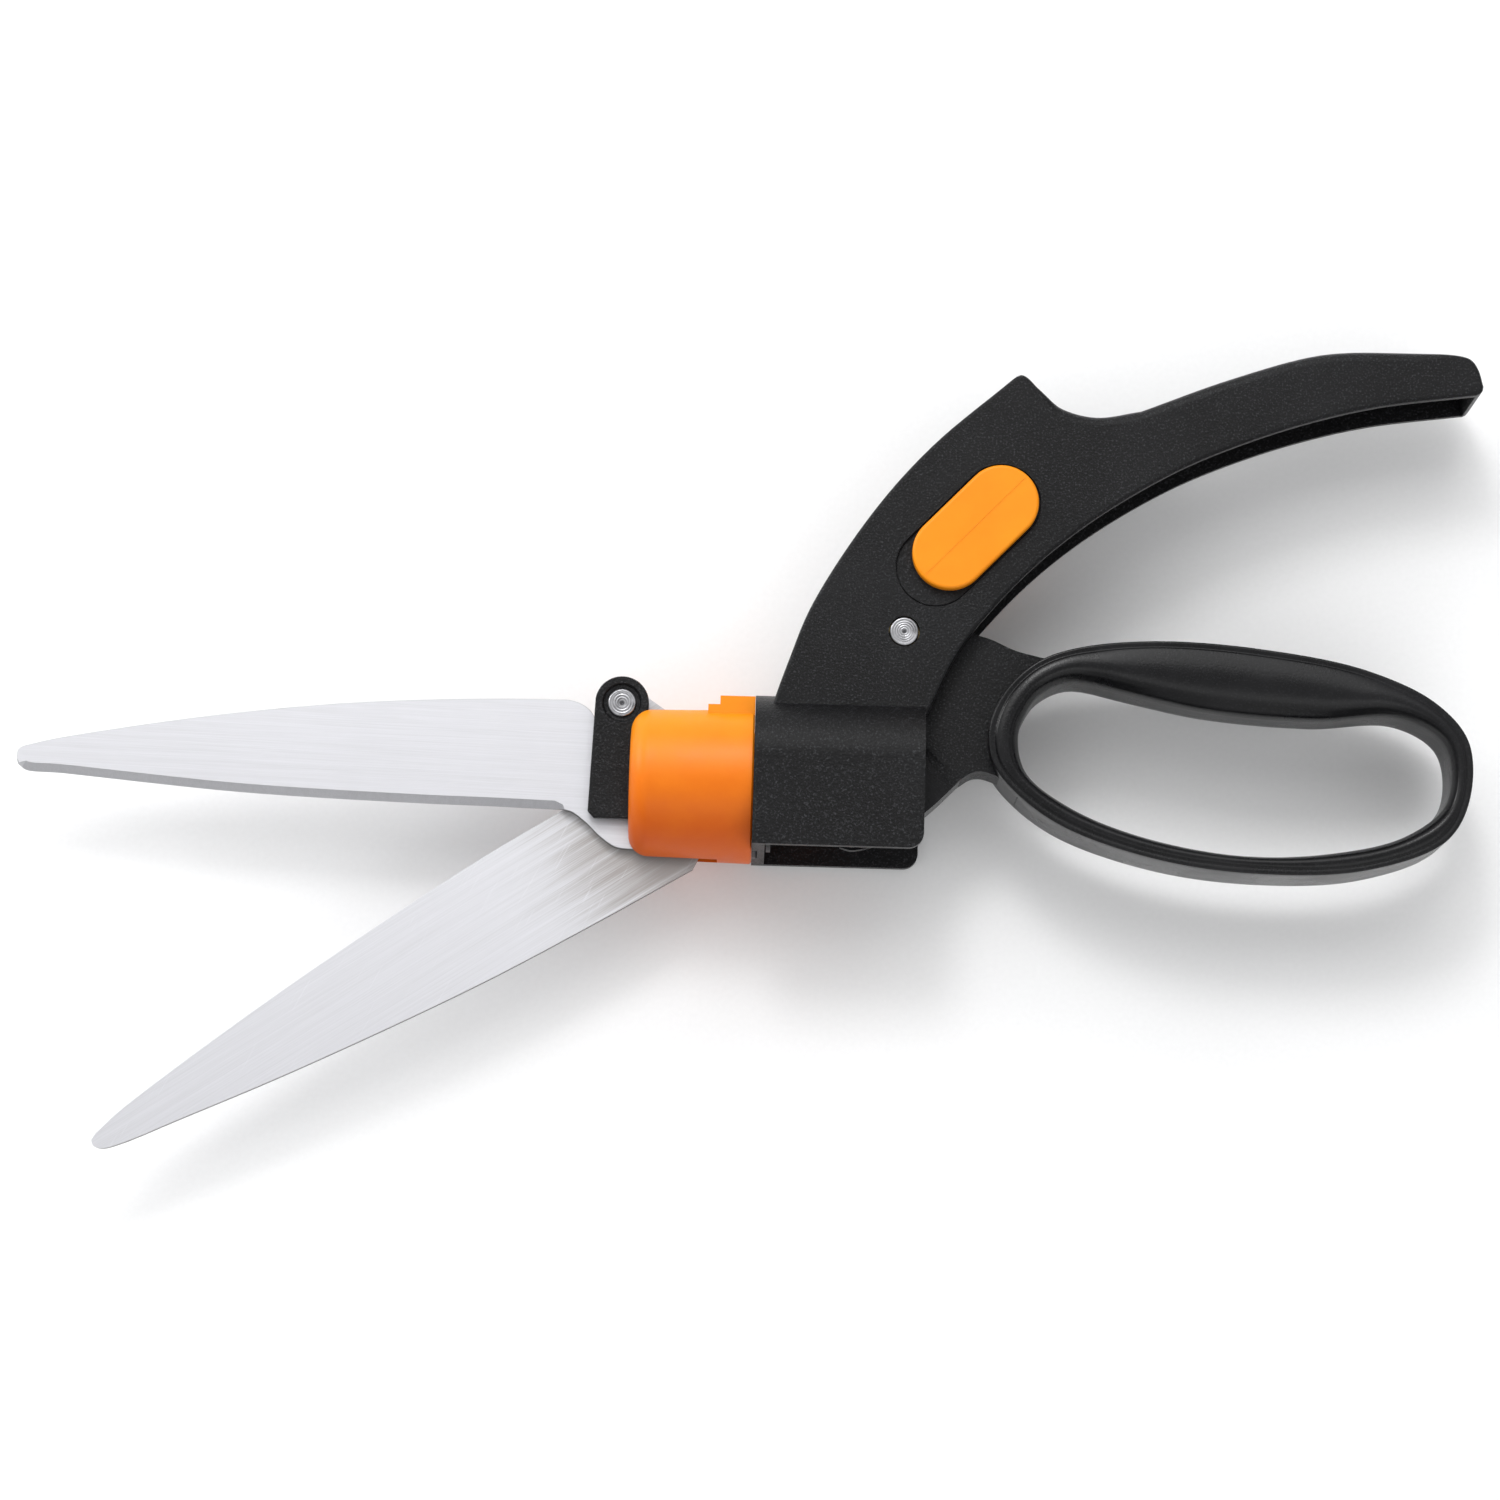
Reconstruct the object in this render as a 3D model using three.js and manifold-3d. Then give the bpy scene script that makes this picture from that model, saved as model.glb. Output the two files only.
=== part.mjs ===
// Grass shears with a swivelling cutting head, lying flat on the side of their housing.
// Millimetres. +X runs along the swivel axis from the blades to the handles, +Y runs in the
// plane of the blades towards the upper handle, and +Z is up, through the thickness.
// Shapes are drawn about the mid-plane of the shears and lifted by MID_HEIGHT at the end.

import * as THREE from 'three';
import { mergeVertices } from 'three/addons/utils/BufferGeometryUtils.js';
import Module from 'manifold-3d';

const wasm = await Module();
wasm.setup();

// ---- driving dimensions -------------------------------------------------------------------

const GAP = 0.3;                     // clearance kept between neighbouring pieces
const MID_HEIGHT = 19;               // mid-plane above the floor, half the housing's width

// Housing: the arched front end of the upper handle, around the swivel bearing.
const HOUSING_FRONT = -19.7;
const HOUSING_REAR = 18.6;
const HOUSING_WALL = 2.4;
const HOUSING_TOP = 20.7;            // above the swivel axis
const HOUSING_SPRING_LINE = 5;       // where the flat sides turn into the arch
const HOUSING_BOTTOM = -15.5;
const BEARING_END = -16.8;           // inner face of the bearing wall
const BEARING_BORE_R = 14.1;
const RING_SEAT_R = 16.6;
const HOUSING_CORNER_R = 3.4;        // lower rear corners of the housing's sides

// Upper handle.
const HANDLE_HALF = 11.5;
const HANDLE_WALL = 2.3;
const PIVOT = new THREE.Vector2(13.4, 34.8);
const PIVOT_PIN_R = 3.27;
const PIVOT_BUSH_R = 4.6;
const HUB_R = 9.5;
const HUB_HALF = 8.8;
const RIB_HALF = 0.9;
// Stiffening ribs across the grip's channel: x, lower end, upper end inside the roof.
const GRIP_RIBS = [[62, 73, 85.5], [84, 82.5, 93.5], [106, 90.5, 101], [126, 94.5, 102.3]];

// Lower handle and its pull fork.
const SQUEEZE = THREE.MathUtils.degToRad(29);
const FORK_REACH = 35.4;
const FORK_PAD_R = 3.5;
const STROKE = 2 * FORK_REACH * Math.sin(SQUEEZE / 2);
const LOOP_HALF = 11;
const WEB_HALF = 6;
const LEVER_HALF = 5;

// Swivelling head.
const COLLAR_FRONT = -47.7;
const COLLAR_REAR = HOUSING_FRONT - GAP;
const COLLAR_R = 17.3;
const JOURNAL_R = 12.2;
const JOURNAL_END = -1.2;
const TUBE_R = 8.2;
const CHANNEL_HALF = 6;
const CHANNEL_END = -23.7;
const BLADE_SLOT_HALF = 2.7;
const INDEX_HALF = 8.5;              // index block on top of the collar
const INDEX_TOP = 19.4;
const INDEX_TAB_TOP = 17.4;
const TANG_PIN = new THREE.Vector2(-25.2, -12.3);
const TANG_PIN_R = 1.4;

// Blades.
const BLADE_IN = GAP / 2;
const BLADE_OUT = 2.35;
const BLADE_PIVOT = new THREE.Vector2(-41.9, -9.5);
const BLADE_RIVET_R = 3;
const DRIVE_PIN = new THREE.Vector2(-50, 17.6);
const DRIVE_RIVET_R = 2.1;
const DRIVE_BUSH_R = 2.9;
const DRIVE_CLEARANCE = 0.4;
const DRIVE_REACH = [26.9, 29];      // ends of the moving blade's slot, from the blade pivot

// Yoke and pull rod.
const YOKE_IN = 3.9;
const YOKE_OUT = 5.7;
const BRIDGE_LEFT = -33.2;
const BRIDGE_RIGHT = -29.7;
const BRIDGE_HALF = 4.6;
const ROD_R = 1.9;
const SPRING_R = 4.6;
const SPRING_WIRE_R = 0.45;
const SPRING_TURNS = 7.5;

// Lock slider.
const LOCK_ANGLE = THREE.MathUtils.degToRad(46.2);
const LOCK_TRAVEL = 4.5;
const LOCK_CENTRE = new THREE.Vector2(29, 59);
const LOCK_BUTTON_R = 8.5;
const LOCK_BUTTON_LENGTH = 33.6;
const LOCK_BUTTON_THICK = 2.6;
const LOCK_TRACK_DEPTH = 0.8;
const LOCK_PIN_R = 1.6;
const LOCK_PIN_SPACING = 9;
const LOCK_BAR_HALF = 6;
const LOCK_NOSE_REACH = 17.5;        // from the handle pivot to the nose when unlocked
const LOCK_TOOTH_REACH = 16.9;

// ---- geometry helpers ---------------------------------------------------------------------

function solid(geometry) {
  const bare = geometry.clone();
  for (const name of ['normal', 'uv']) bare.deleteAttribute(name);
  const merged = mergeVertices(bare, 1e-4);
  const triVerts = new Uint32Array(merged.index.array);
  const vertProperties = new Float32Array(merged.attributes.position.array);
  return new wasm.Manifold(new wasm.Mesh({ numProp: 3, vertProperties, triVerts }));
}

function toGeometry(manifold) {
  const mesh = manifold.getMesh();
  const geometry = new THREE.BufferGeometry();
  geometry.setAttribute('position', new THREE.BufferAttribute(mesh.vertProperties, 3));
  geometry.setIndex(new THREE.BufferAttribute(mesh.triVerts, 1));
  return geometry;
}

const union = (...bodies) => bodies.reduce((a, b) => a.add(b));
const cut = (body, ...tools) => tools.reduce((a, b) => a.subtract(b), body);

// A shape in the XY plane, extruded from z = lo to z = hi, with an optional rounded edge.
function plate(shape, lo, hi, edge = 0, segments = 6, rounds = 2) {
  const geometry = new THREE.ExtrudeGeometry(shape, {
    depth: hi - lo - 2 * edge,
    curveSegments: segments,
    bevelEnabled: edge > 0,
    bevelThickness: edge,
    bevelSize: edge,
    bevelOffset: -edge,
    bevelSegments: rounds,
  });
  geometry.translate(0, 0, lo + edge);
  return solid(geometry);
}

// A shape drawn as (z, y), extruded along the swivel axis from x = lo to x = hi.
function beam(shape, lo, hi, segments = 10) {
  const geometry = new THREE.ExtrudeGeometry(shape, {
    depth: hi - lo,
    curveSegments: segments,
    bevelEnabled: false,
  });
  geometry.rotateY(Math.PI / 2);
  geometry.scale(1, 1, -1);
  flipFaces(geometry);
  geometry.translate(lo, 0, 0);
  return solid(geometry);
}

function flipFaces(geometry) {
  const index = geometry.index;
  if (index) {
    for (let i = 0; i < index.count; i += 3) {
      const first = index.getX(i);
      index.setX(i, index.getX(i + 1));
      index.setX(i + 1, first);
    }
    return;
  }
  const array = geometry.attributes.position.array;
  for (let i = 0; i < array.length; i += 9) {
    for (let k = 0; k < 3; k += 1) {
      [array[i + k], array[i + 3 + k]] = [array[i + 3 + k], array[i + k]];
    }
  }
}

function box(x0, x1, y0, y1, z0, z1) {
  const geometry = new THREE.BoxGeometry(x1 - x0, y1 - y0, z1 - z0);
  geometry.translate((x0 + x1) / 2, (y0 + y1) / 2, (z0 + z1) / 2);
  return solid(geometry);
}

// A body turned about the swivel axis, from a profile of [x, radius] points.
function turnedX(profile, segments = 48) {
  const points = profile.map(([x, r]) => new THREE.Vector2(r, x));
  const geometry = new THREE.LatheGeometry(points, segments);
  geometry.rotateZ(-Math.PI / 2);
  return solid(geometry);
}

// A body turned about a vertical axis through `centre`, from a profile of [radius, z] points.
function turnedZ(centre, profile, segments = 32) {
  const points = profile.map(([r, z]) => new THREE.Vector2(r, z));
  const geometry = new THREE.LatheGeometry(points, segments);
  geometry.rotateX(Math.PI / 2);
  geometry.translate(centre.x, centre.y, 0);
  return solid(geometry);
}

const disc = (centre, radius, lo, hi, segments = 32) =>
  turnedZ(centre, [[0, lo], [radius, lo], [radius, hi], [0, hi]], segments);

const ring = (centre, inner, outer, lo, hi, segments = 32) =>
  turnedZ(centre, [[inner, lo], [outer, lo], [outer, hi], [inner, hi], [inner, lo]], segments);

const ringX = (x0, x1, inner, outer, segments = 48) =>
  turnedX([[x0, inner], [x0, outer], [x1, outer], [x1, inner], [x0, inner]], segments);

const rodX = (x0, x1, radius, segments = 32) =>
  turnedX([[x0, 0], [x0, radius], [x1, radius], [x1, 0]], segments);

// A closed outline made of straight and smooth runs joined end to end by straight lines.
// A 'curve' run is a spline through its points, with `steps` pieces between each two.
function outline(runs, steps = 3) {
  const points = [];
  for (const run of runs) {
    const corners = run.points.map(([x, y]) => new THREE.Vector3(x, y, 0));
    const smooth = run.curve && new THREE.CatmullRomCurve3(corners, false, 'centripetal');
    for (const p of smooth ? smooth.getPoints(steps * (corners.length - 1)) : corners) {
      const last = points[points.length - 1];
      if (!last || Math.hypot(p.x - last.x, p.y - last.y) > 0.05) points.push(new THREE.Vector2(p.x, p.y));
    }
  }
  return new THREE.Shape(points);
}

const curve = (...points) => ({ curve: true, points });
const line = (...points) => ({ curve: false, points });

// A stadium: a slot with round ends, given its centre, overall length, radius and direction.
function stadium(centre, length, radius, angle) {
  const along = new THREE.Vector2(Math.cos(angle), Math.sin(angle));
  const half = length / 2 - radius;
  const a = centre.clone().addScaledVector(along, half);
  const b = centre.clone().addScaledVector(along, -half);
  const shape = new THREE.Shape();
  shape.absarc(a.x, a.y, radius, angle - Math.PI / 2, angle + Math.PI / 2, false);
  shape.absarc(b.x, b.y, radius, angle + Math.PI / 2, angle + 1.5 * Math.PI, false);
  shape.closePath();
  return shape;
}

function polar(centre, radius, angle) {
  return new THREE.Vector2(Math.cos(angle), Math.sin(angle)).multiplyScalar(radius).add(centre);
}

// ---- scene graph --------------------------------------------------------------------------

const shears = new THREE.Group();
shears.position.z = MID_HEIGHT;

const FINISHES = {
  mattBlack: { color: 0x1c1d20, roughness: 0.72, metalness: 0 },
  satinBlack: { color: 0x232427, roughness: 0.42, metalness: 0 },
  orange: { color: 0xee7410, roughness: 0.42, metalness: 0 },
  bladeSteel: { color: 0xd4d6da, roughness: 0.3, metalness: 1 },
  rivetSteel: { color: 0xb4b6ba, roughness: 0.25, metalness: 1 },
  springSteel: { color: 0x8e9298, roughness: 0.35, metalness: 1 },
  bearingWhite: { color: 0xd9d8d0, roughness: 0.5, metalness: 0 },
  brass: { color: 0xb59a52, roughness: 0.35, metalness: 1 },
};

function add(name, body, finish) {
  const mesh = new THREE.Mesh(toGeometry(body), new THREE.MeshStandardMaterial(FINISHES[finish]));
  mesh.name = name;
  shears.add(mesh);
}

// ---- upper handle and housing -------------------------------------------------------------

const SPINE = [[-17, 14], [-12.7, 27], [-7.5, 40.6], [5.7, 62.2], [18.8, 77.9], [36.8, 94]];
const HORN = [[38.7, 95.2], [40.9, 93.8], [47.9, 88], [55.9, 86], [66.3, 87.7]];
const BACK = [[86.9, 95.9], [107.3, 102.1], [124, 103.1], [138.6, 102.5], [142.6, 100.2], [144.4, 94.4]];
const PALM = [[142.2, 93.3], [120.7, 90.1], [104.9, 86], [89.5, 80.5], [75, 73.9], [58, 63.4]];
const THROAT = [[45.3, 53.2], [35.1, 42.7], [26.1, 30.9], [19.1, 16]];

function housingSection(inset, bottom) {
  const shape = new THREE.Shape();
  const halfWidth = MID_HEIGHT - inset;
  const rise = HOUSING_TOP - HOUSING_SPRING_LINE - inset;
  shape.moveTo(-halfWidth, bottom);
  shape.lineTo(halfWidth, bottom);
  shape.lineTo(halfWidth, HOUSING_SPRING_LINE);
  shape.absellipse(0, HOUSING_SPRING_LINE, halfWidth, rise, 0, Math.PI, false);
  shape.closePath();
  return shape;
}

function housingSideTrim() {
  const shape = new THREE.Shape();
  const r = HOUSING_CORNER_R;
  shape.moveTo(HOUSING_REAR - r, HOUSING_BOTTOM);
  shape.lineTo(HOUSING_REAR + 1, HOUSING_BOTTOM - 1);
  shape.lineTo(HOUSING_REAR + 1, HOUSING_BOTTOM + r);
  shape.lineTo(HOUSING_REAR, HOUSING_BOTTOM + r);
  shape.absarc(HOUSING_REAR - r, HOUSING_BOTTOM + r, r, 0, -Math.PI / 2, true);
  shape.closePath();
  return shape;
}

function lockGuideSlots() {
  const recess = LOCK_CENTRE.clone().addScaledVector(lockDirection, -LOCK_TRAVEL / 2);
  const track = stadium(recess, LOCK_BUTTON_LENGTH + LOCK_TRAVEL + 1.2, LOCK_BUTTON_R + 0.6, LOCK_ANGLE);
  const tools = [
    plate(track, HANDLE_HALF - LOCK_TRACK_DEPTH, HANDLE_HALF + 2, 0, 8),
    plate(track, -HANDLE_HALF - 2, -HANDLE_HALF + LOCK_TRACK_DEPTH, 0, 8),
  ];
  for (const pin of lockPins()) {
    const middle = pin.clone().addScaledVector(lockDirection, -LOCK_TRAVEL / 2);
    const slot = stadium(middle, LOCK_TRAVEL + 2 * LOCK_PIN_R + 0.8, LOCK_PIN_R + GAP, LOCK_ANGLE);
    tools.push(plate(slot, -HANDLE_HALF - 1, HANDLE_HALF + 1, 0, 6));
  }
  return tools;
}

function handleBody() {
  const grip = plate(
    outline([
      curve(...SPINE),
      curve(...HORN),
      curve(...BACK),
      line([143.8, 93.6]),
      curve(...PALM, ...THROAT),
    ]),
    -HANDLE_HALF, HANDLE_HALF, 1.1, 4, 2,
  );
  const w = HANDLE_WALL;
  const channel = plate(
    outline([
      curve([-13.2, 5], [-11.6, 25], [-5.6, 39.8], [7.2, 61.1], [20.1, 76.3], [36, 91]),
      curve([46.5, 85.8], [55.9, 83.6], [67, 85.2], [87.5, 93.6], [107.6, 100], [124, 101], [137.6, 100.4]),
      line([140.9, 98.6], [141.9, 94.6], [145.5, 88], [120.7, 84], [75, 66], [45, 44], [25, 24]),
      line([21, 5]),
    ]),
    -HANDLE_HALF + w, HANDLE_HALF - w, 0, 4,
  );
  const housing = cut(
    beam(housingSection(0, HOUSING_BOTTOM), HOUSING_FRONT, HOUSING_REAR),
    beam(housingSection(HOUSING_WALL, HOUSING_BOTTOM - 2), BEARING_END, HOUSING_REAR + 1),
    plate(housingSideTrim(), -MID_HEIGHT - 1, MID_HEIGHT + 1, 0, 8),
  );
  const ribs = GRIP_RIBS.map(([x, low, high]) => box(x - RIB_HALF, x + RIB_HALF, low, high, -10, 10));
  const bearingBore = rodX(HOUSING_FRONT - 1, BEARING_END + 1, BEARING_BORE_R, 64);
  const ringSeat = rodX(HOUSING_FRONT - 1, HOUSING_FRONT + 1.2, RING_SEAT_R, 64);
  const leverWay = box(-9, HOUSING_REAR + 8, 0, 22, -HANDLE_HALF + w, HANDLE_HALF - w);
  return union(
    cut(
      union(grip, housing),
      channel,
      leverWay,
      beam(housingSection(HOUSING_WALL, HOUSING_BOTTOM - 2), BEARING_END, HOUSING_REAR + 1),
      bearingBore,
      ringSeat,
      disc(PIVOT, PIVOT_PIN_R + 0.1, -20, 20),
      ...lockGuideSlots(),
    ),
    ...ribs,
  );
}

// ---- lock slider --------------------------------------------------------------------------

const lockDirection = new THREE.Vector2(Math.cos(LOCK_ANGLE), Math.sin(LOCK_ANGLE));
const lockNormal = new THREE.Vector2(-lockDirection.y, lockDirection.x);

// A point given along and across the lock's line of travel, from the handle pivot.
const onLockLine = (along, across) =>
  PIVOT.clone().addScaledVector(lockDirection, along).addScaledVector(lockNormal, across);

function lockPins() {
  return [-0.5, 0.5].map((k) =>
    LOCK_CENTRE.clone().addScaledVector(lockDirection, k * LOCK_PIN_SPACING));
}

function lockBar() {
  const corners = [
    [LOCK_NOSE_REACH, -1.5],
    [37, -1.5],
    [37, 10],
    [22.5, 10],
    [22.5, 1.5],
    [LOCK_NOSE_REACH, 1.5],
  ].map(([a, p]) => onLockLine(a, p));
  const bar = plate(new THREE.Shape(corners), -LOCK_BAR_HALF, LOCK_BAR_HALF);
  return cut(bar, ...lockPins().map((pin) => disc(pin, LOCK_PIN_R + 0.1, -10, 10, 20)));
}

function lockButton(side) {
  const crown = stadium(LOCK_CENTRE, LOCK_BUTTON_LENGTH, LOCK_BUTTON_R, LOCK_ANGLE);
  const lo = HANDLE_HALF - 0.5;
  const body = plate(crown, lo, lo + LOCK_BUTTON_THICK, 0.7, 8, 2);
  const groove = stadium(LOCK_CENTRE, LOCK_BUTTON_LENGTH - 4, 0.35, LOCK_ANGLE);
  const shaped = cut(body, plate(groove, lo + LOCK_BUTTON_THICK - 0.3, lo + 4, 0, 4));
  return side > 0 ? shaped : shaped.mirror([0, 0, 1]);
}

// ---- lower handle -------------------------------------------------------------------------

const forkTip = polar(PIVOT, FORK_REACH, -Math.PI / 2 - SQUEEZE / 2);

const LOOP_OUTER = [
  [33, 12.5], [34.8, 19], [38.7, 24.8], [45, 29.8], [54.5, 32.9], [72, 34.6], [94.4, 33.4], [118.3, 29.2],
  [134.2, 22], [141.6, 13.2], [141.6, -0.5], [136.3, -9.6], [118.6, -16.5], [94.5, -18], [71.6, -15.4],
  [49.9, -8.4], [38.9, -0.6], [33.9, 6],
];
const LOOP_HOLE = [
  [39.9, 12], [41.6, 17.5], [44.6, 21.8], [51.9, 25.2], [64, 22.9], [82.5, 19.3], [107.2, 17.8], [126.3, 18.9],
  [136.4, 13], [137, 0], [127.9, -8], [111, -12.5], [90, -13.6], [66.9, -9.6], [51.2, -3.4], [41.9, 3.8],
];

function closedCurve(points) {
  const loop = new THREE.CatmullRomCurve3(points.map(([x, y]) => new THREE.Vector3(x, y, 0)), true);
  return loop.getPoints(3 * points.length).slice(0, -1).map((p) => new THREE.Vector2(p.x, p.y));
}

function lowerHandle() {
  const loopShape = new THREE.Shape(closedCurve(LOOP_OUTER));
  const hole = new THREE.Shape(closedCurve(LOOP_HOLE));
  const loop = cut(
    plate(loopShape, -LOOP_HALF, LOOP_HALF, 1.4, 1, 2),
    plate(hole, -LOOP_HALF - 1, LOOP_HALF + 1, 0, 1),
  );
  const web = plate(
    outline([
      line([22.4, 38.4]),
      curve([22.4, 38.4], [26, 36.4], [33, 34.6], [38.8, 32.1], [45.8, 30.4]),
      line([46.2, 28.4], [41.3, 23], [37.8, 17.6], [36.3, 12.2], [37, 6.6], [38.8, 2.4], [42, -2]),
      curve([40, -1.7], [38.4, 0.6], [36.6, 2.3], [34.3, 3.5], [31.6, 4.1], [29.5, 3.7], [27, 2]),
      line([18.9, 9.7], [10, 27], [13.4, 34.8]),
    ]),
    -WEB_HALF, WEB_HALF, 0, 5,
  );
  const lever = plate(
    outline([
      line([4.2, 33], [1.1, 3], [0.3, -13]),
      curve([0.3, -13], [3.2, -13.6], [11, -11.2], [19.3, -5.5], [27.3, 2.3]),
      line([31, 8], [23, 36]),
    ]),
    -LEVER_HALF, LEVER_HALF, 0, 5,
  );
  const buttonWindow = plate(
    outline([
      line([7.2, 6.6], [5.2, -2.6], [4.9, -7], [9, -7.9], [12.4, -5.2]),
      curve([12.4, -5.2], [14, 0], [13.5, 6.6]),
    ]),
    -LEVER_HALF - 1, LEVER_HALF + 1, 0, 4,
  );
  const pad = disc(forkTip, FORK_PAD_R, -LEVER_HALF, LEVER_HALF, 32);
  const hub = disc(PIVOT, HUB_R, -HUB_HALF, HUB_HALF, 40);
  const rodSlot = box(-2, 9, -16, 9, -ROD_R - 0.5, ROD_R + 0.5);
  return cut(
    union(cut(union(loop, web, lever, hub, lockTooth()), buttonWindow), pad),
    rodSlot,
    disc(PIVOT, PIVOT_BUSH_R + 0.1, -10, 10, 32),
  );
}

// The stop on the hub that the lock's nose holds, open or closed.
function lockTooth() {
  const at = LOCK_ANGLE - SQUEEZE / 2;
  const shape = new THREE.Shape();
  const base = polar(PIVOT, HUB_R - 1, at);
  const across = new THREE.Vector2(-Math.sin(at), Math.cos(at));
  const tip = polar(PIVOT, LOCK_TOOTH_REACH, at);
  const corner = (point, offset) => point.clone().addScaledVector(across, offset);
  shape.setFromPoints([corner(base, -2), corner(tip, -1.2), corner(tip, 1.2), corner(base, 2)]);
  return plate(shape, -WEB_HALF, WEB_HALF);
}

// ---- swivel collar ------------------------------------------------------------------------

function swivelCollar() {
  const turned = turnedX([
    [COLLAR_FRONT, 0],
    [COLLAR_FRONT, COLLAR_R - 4.8],
    [COLLAR_FRONT + 0.6, COLLAR_R - 2.9],
    [COLLAR_FRONT + 1.9, COLLAR_R - 1.2],
    [COLLAR_FRONT + 4, COLLAR_R - 0.2],
    [COLLAR_REAR, COLLAR_R + 0.3],
    [COLLAR_REAR, JOURNAL_R],
    [BEARING_END + 0.1, JOURNAL_R],
    [BEARING_END + 0.1, JOURNAL_R - 0.8],
    [BEARING_END + 1.5, JOURNAL_R - 0.8],
    [BEARING_END + 1.5, JOURNAL_R],
    [JOURNAL_END, JOURNAL_R - 0.5],
    [JOURNAL_END, 0],
  ], 72);
  const indexBlock = union(
    box(-27.7, COLLAR_REAR, 12, INDEX_TOP, -INDEX_HALF, INDEX_HALF),
    box(-30.4, -27, 12, INDEX_TAB_TOP, -INDEX_HALF, INDEX_HALF),
  );
  const channel = box(COLLAR_FRONT - 1, CHANNEL_END, -9.6, 30, -CHANNEL_HALF, CHANNEL_HALF);
  const bladeSlot = box(COLLAR_FRONT - 1, -27.5, -20, 0, -BLADE_SLOT_HALF, BLADE_SLOT_HALF);
  const tangSlot = box(-28, -22.6, -15.6, 0, -GAP / 2, BLADE_OUT + GAP);
  const tube = turnedX([
    [CHANNEL_END - 1, 0],
    [CHANNEL_END - 1, TUBE_R],
    [-2.1, TUBE_R],
    [-2.1, 5.5],
    [JOURNAL_END + 1, 5.5],
    [JOURNAL_END + 1, 0],
  ], 48);
  const rivetWell = disc(BLADE_PIVOT, 5.2, -4, 4);
  const pinHole = disc(TANG_PIN, TANG_PIN_R + 0.1, -14, 5.2, 20);
  return cut(union(turned, indexBlock), channel, bladeSlot, tangSlot, tube, rivetWell, pinHole);
}

// ---- blades -------------------------------------------------------------------------------

function fixedBlade() {
  const shape = outline([
    line([-187, 1.4]),
    curve([-187, 1.4], [-186.6, 3.6], [-182, 5.3], [-164, 9], [-136.9, 13.4], [-109.7, 16.5], [-82.5, 18.1], [-66, 18.4]),
    curve([-61, 18.2], [-57.3, 16.2], [-55, 12]),
    line([-52.6, 1]),
    curve([-48, -1.2], [-41.9, -2.4], [-36.6, -4.8]),
    line([-31, -7.4], [-22.9, -7.8], [-22.9, -15.3], [-46.7, -15.4]),
    curve([-50.5, -15], [-54, -12.8], [-57.4, -9.6], [-62.7, -6.6]),
    curve([-95, -6], [-136, -4.6], [-177, -1.4], [-185, -0.9]),
  ]);
  return cut(
    plate(shape, BLADE_IN, BLADE_OUT, 0, 4),
    disc(BLADE_PIVOT, BLADE_RIVET_R + 0.1, -1, 4, 28),
    disc(TANG_PIN, TANG_PIN_R + 0.1, -1, 4, 20),
  );
}

function movingBlade() {
  const shape = outline([
    line([-165.6, -83.6]),
    curve([-160, -77.6], [-134, -56.6], [-107.7, -37], [-81.2, -18.4], [-63, -6.7]),
    line([-57.6, -2.6], [-54.8, 6], [-56.1, 20.4]),
    curve([-54.6, 23], [-51.6, 23.9], [-48.6, 22.8]),
    line([-45.8, 20.9], [-40, 17], [-36.2, 6], [-35.2, -5]),
    curve([-33.6, -7.4], [-30.8, -12], [-31.4, -16], [-33, -19.3]),
    curve([-53.6, -31.6], [-80.2, -46.8], [-120.1, -67], [-146.6, -79.2], [-160, -85.2], [-163.8, -86.2]),
    curve([-165.6, -85.6], [-166.2, -84.6]),
  ]);
  const [reachLow, reachHigh] = DRIVE_REACH;
  const start = DRIVE_PIN.clone().sub(BLADE_PIVOT).angle();
  const middle = polar(BLADE_PIVOT, (reachLow + reachHigh) / 2, start);
  const width = DRIVE_BUSH_R + DRIVE_CLEARANCE;
  const driveSlot = stadium(middle, reachHigh - reachLow + 2 * width, width, start);
  return cut(
    plate(shape, -BLADE_OUT, -BLADE_IN, 0, 4),
    plate(driveSlot, -4, 1, 0, 8),
    disc(BLADE_PIVOT, BLADE_RIVET_R + 0.1, -4, 1, 28),
  );
}

// ---- yoke and pull rod --------------------------------------------------------------------

function yokeCheek() {
  const shape = outline([
    line([-57, -7.4], [-55.6, -8.9], [-46.5, -8.9], [-42, -BRIDGE_HALF]),
    line([BRIDGE_RIGHT, -BRIDGE_HALF], [BRIDGE_RIGHT, BRIDGE_HALF], [-41.9, BRIDGE_HALF]),
    curve([-42.2, BRIDGE_HALF + 0.3], [-43.5, 8], [-43.9, 12], [-43.9, 17.6]),
    curve([-45.6, 21.8], [-50, 23.7], [-54.4, 21.8]),
    line([-56.1, 18.5]),
  ]);
  return shape;
}

function yoke() {
  const cheeks = plate(yokeCheek(), -YOKE_OUT, YOKE_OUT, 0, 5);
  const bladeGap = box(-60, BRIDGE_LEFT, -12, 30, -YOKE_IN, YOKE_IN);
  return cut(
    cheeks,
    bladeGap,
    rodX(BRIDGE_LEFT - 1, BRIDGE_RIGHT + 1, ROD_R + 0.1, 28),
    disc(DRIVE_PIN, DRIVE_RIVET_R + 0.1, -8, 8, 28),
    disc(DRIVE_PIN, 4.3, YOKE_OUT - 0.7, YOKE_OUT + 1, 28),
    disc(DRIVE_PIN, 4.3, -YOKE_OUT - 1, -YOKE_OUT + 0.7, 28),
  );
}

function pullRod() {
  return turnedX([
    [BRIDGE_LEFT - 1.3, 0],
    [BRIDGE_LEFT - 1.3, 3],
    [BRIDGE_LEFT - GAP, 3.4],
    [BRIDGE_LEFT - GAP, ROD_R],
    [ROD_END - 0.5, ROD_R],
    [ROD_END, ROD_R - 0.5],
    [ROD_END, 0],
  ], 28);
}

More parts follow.
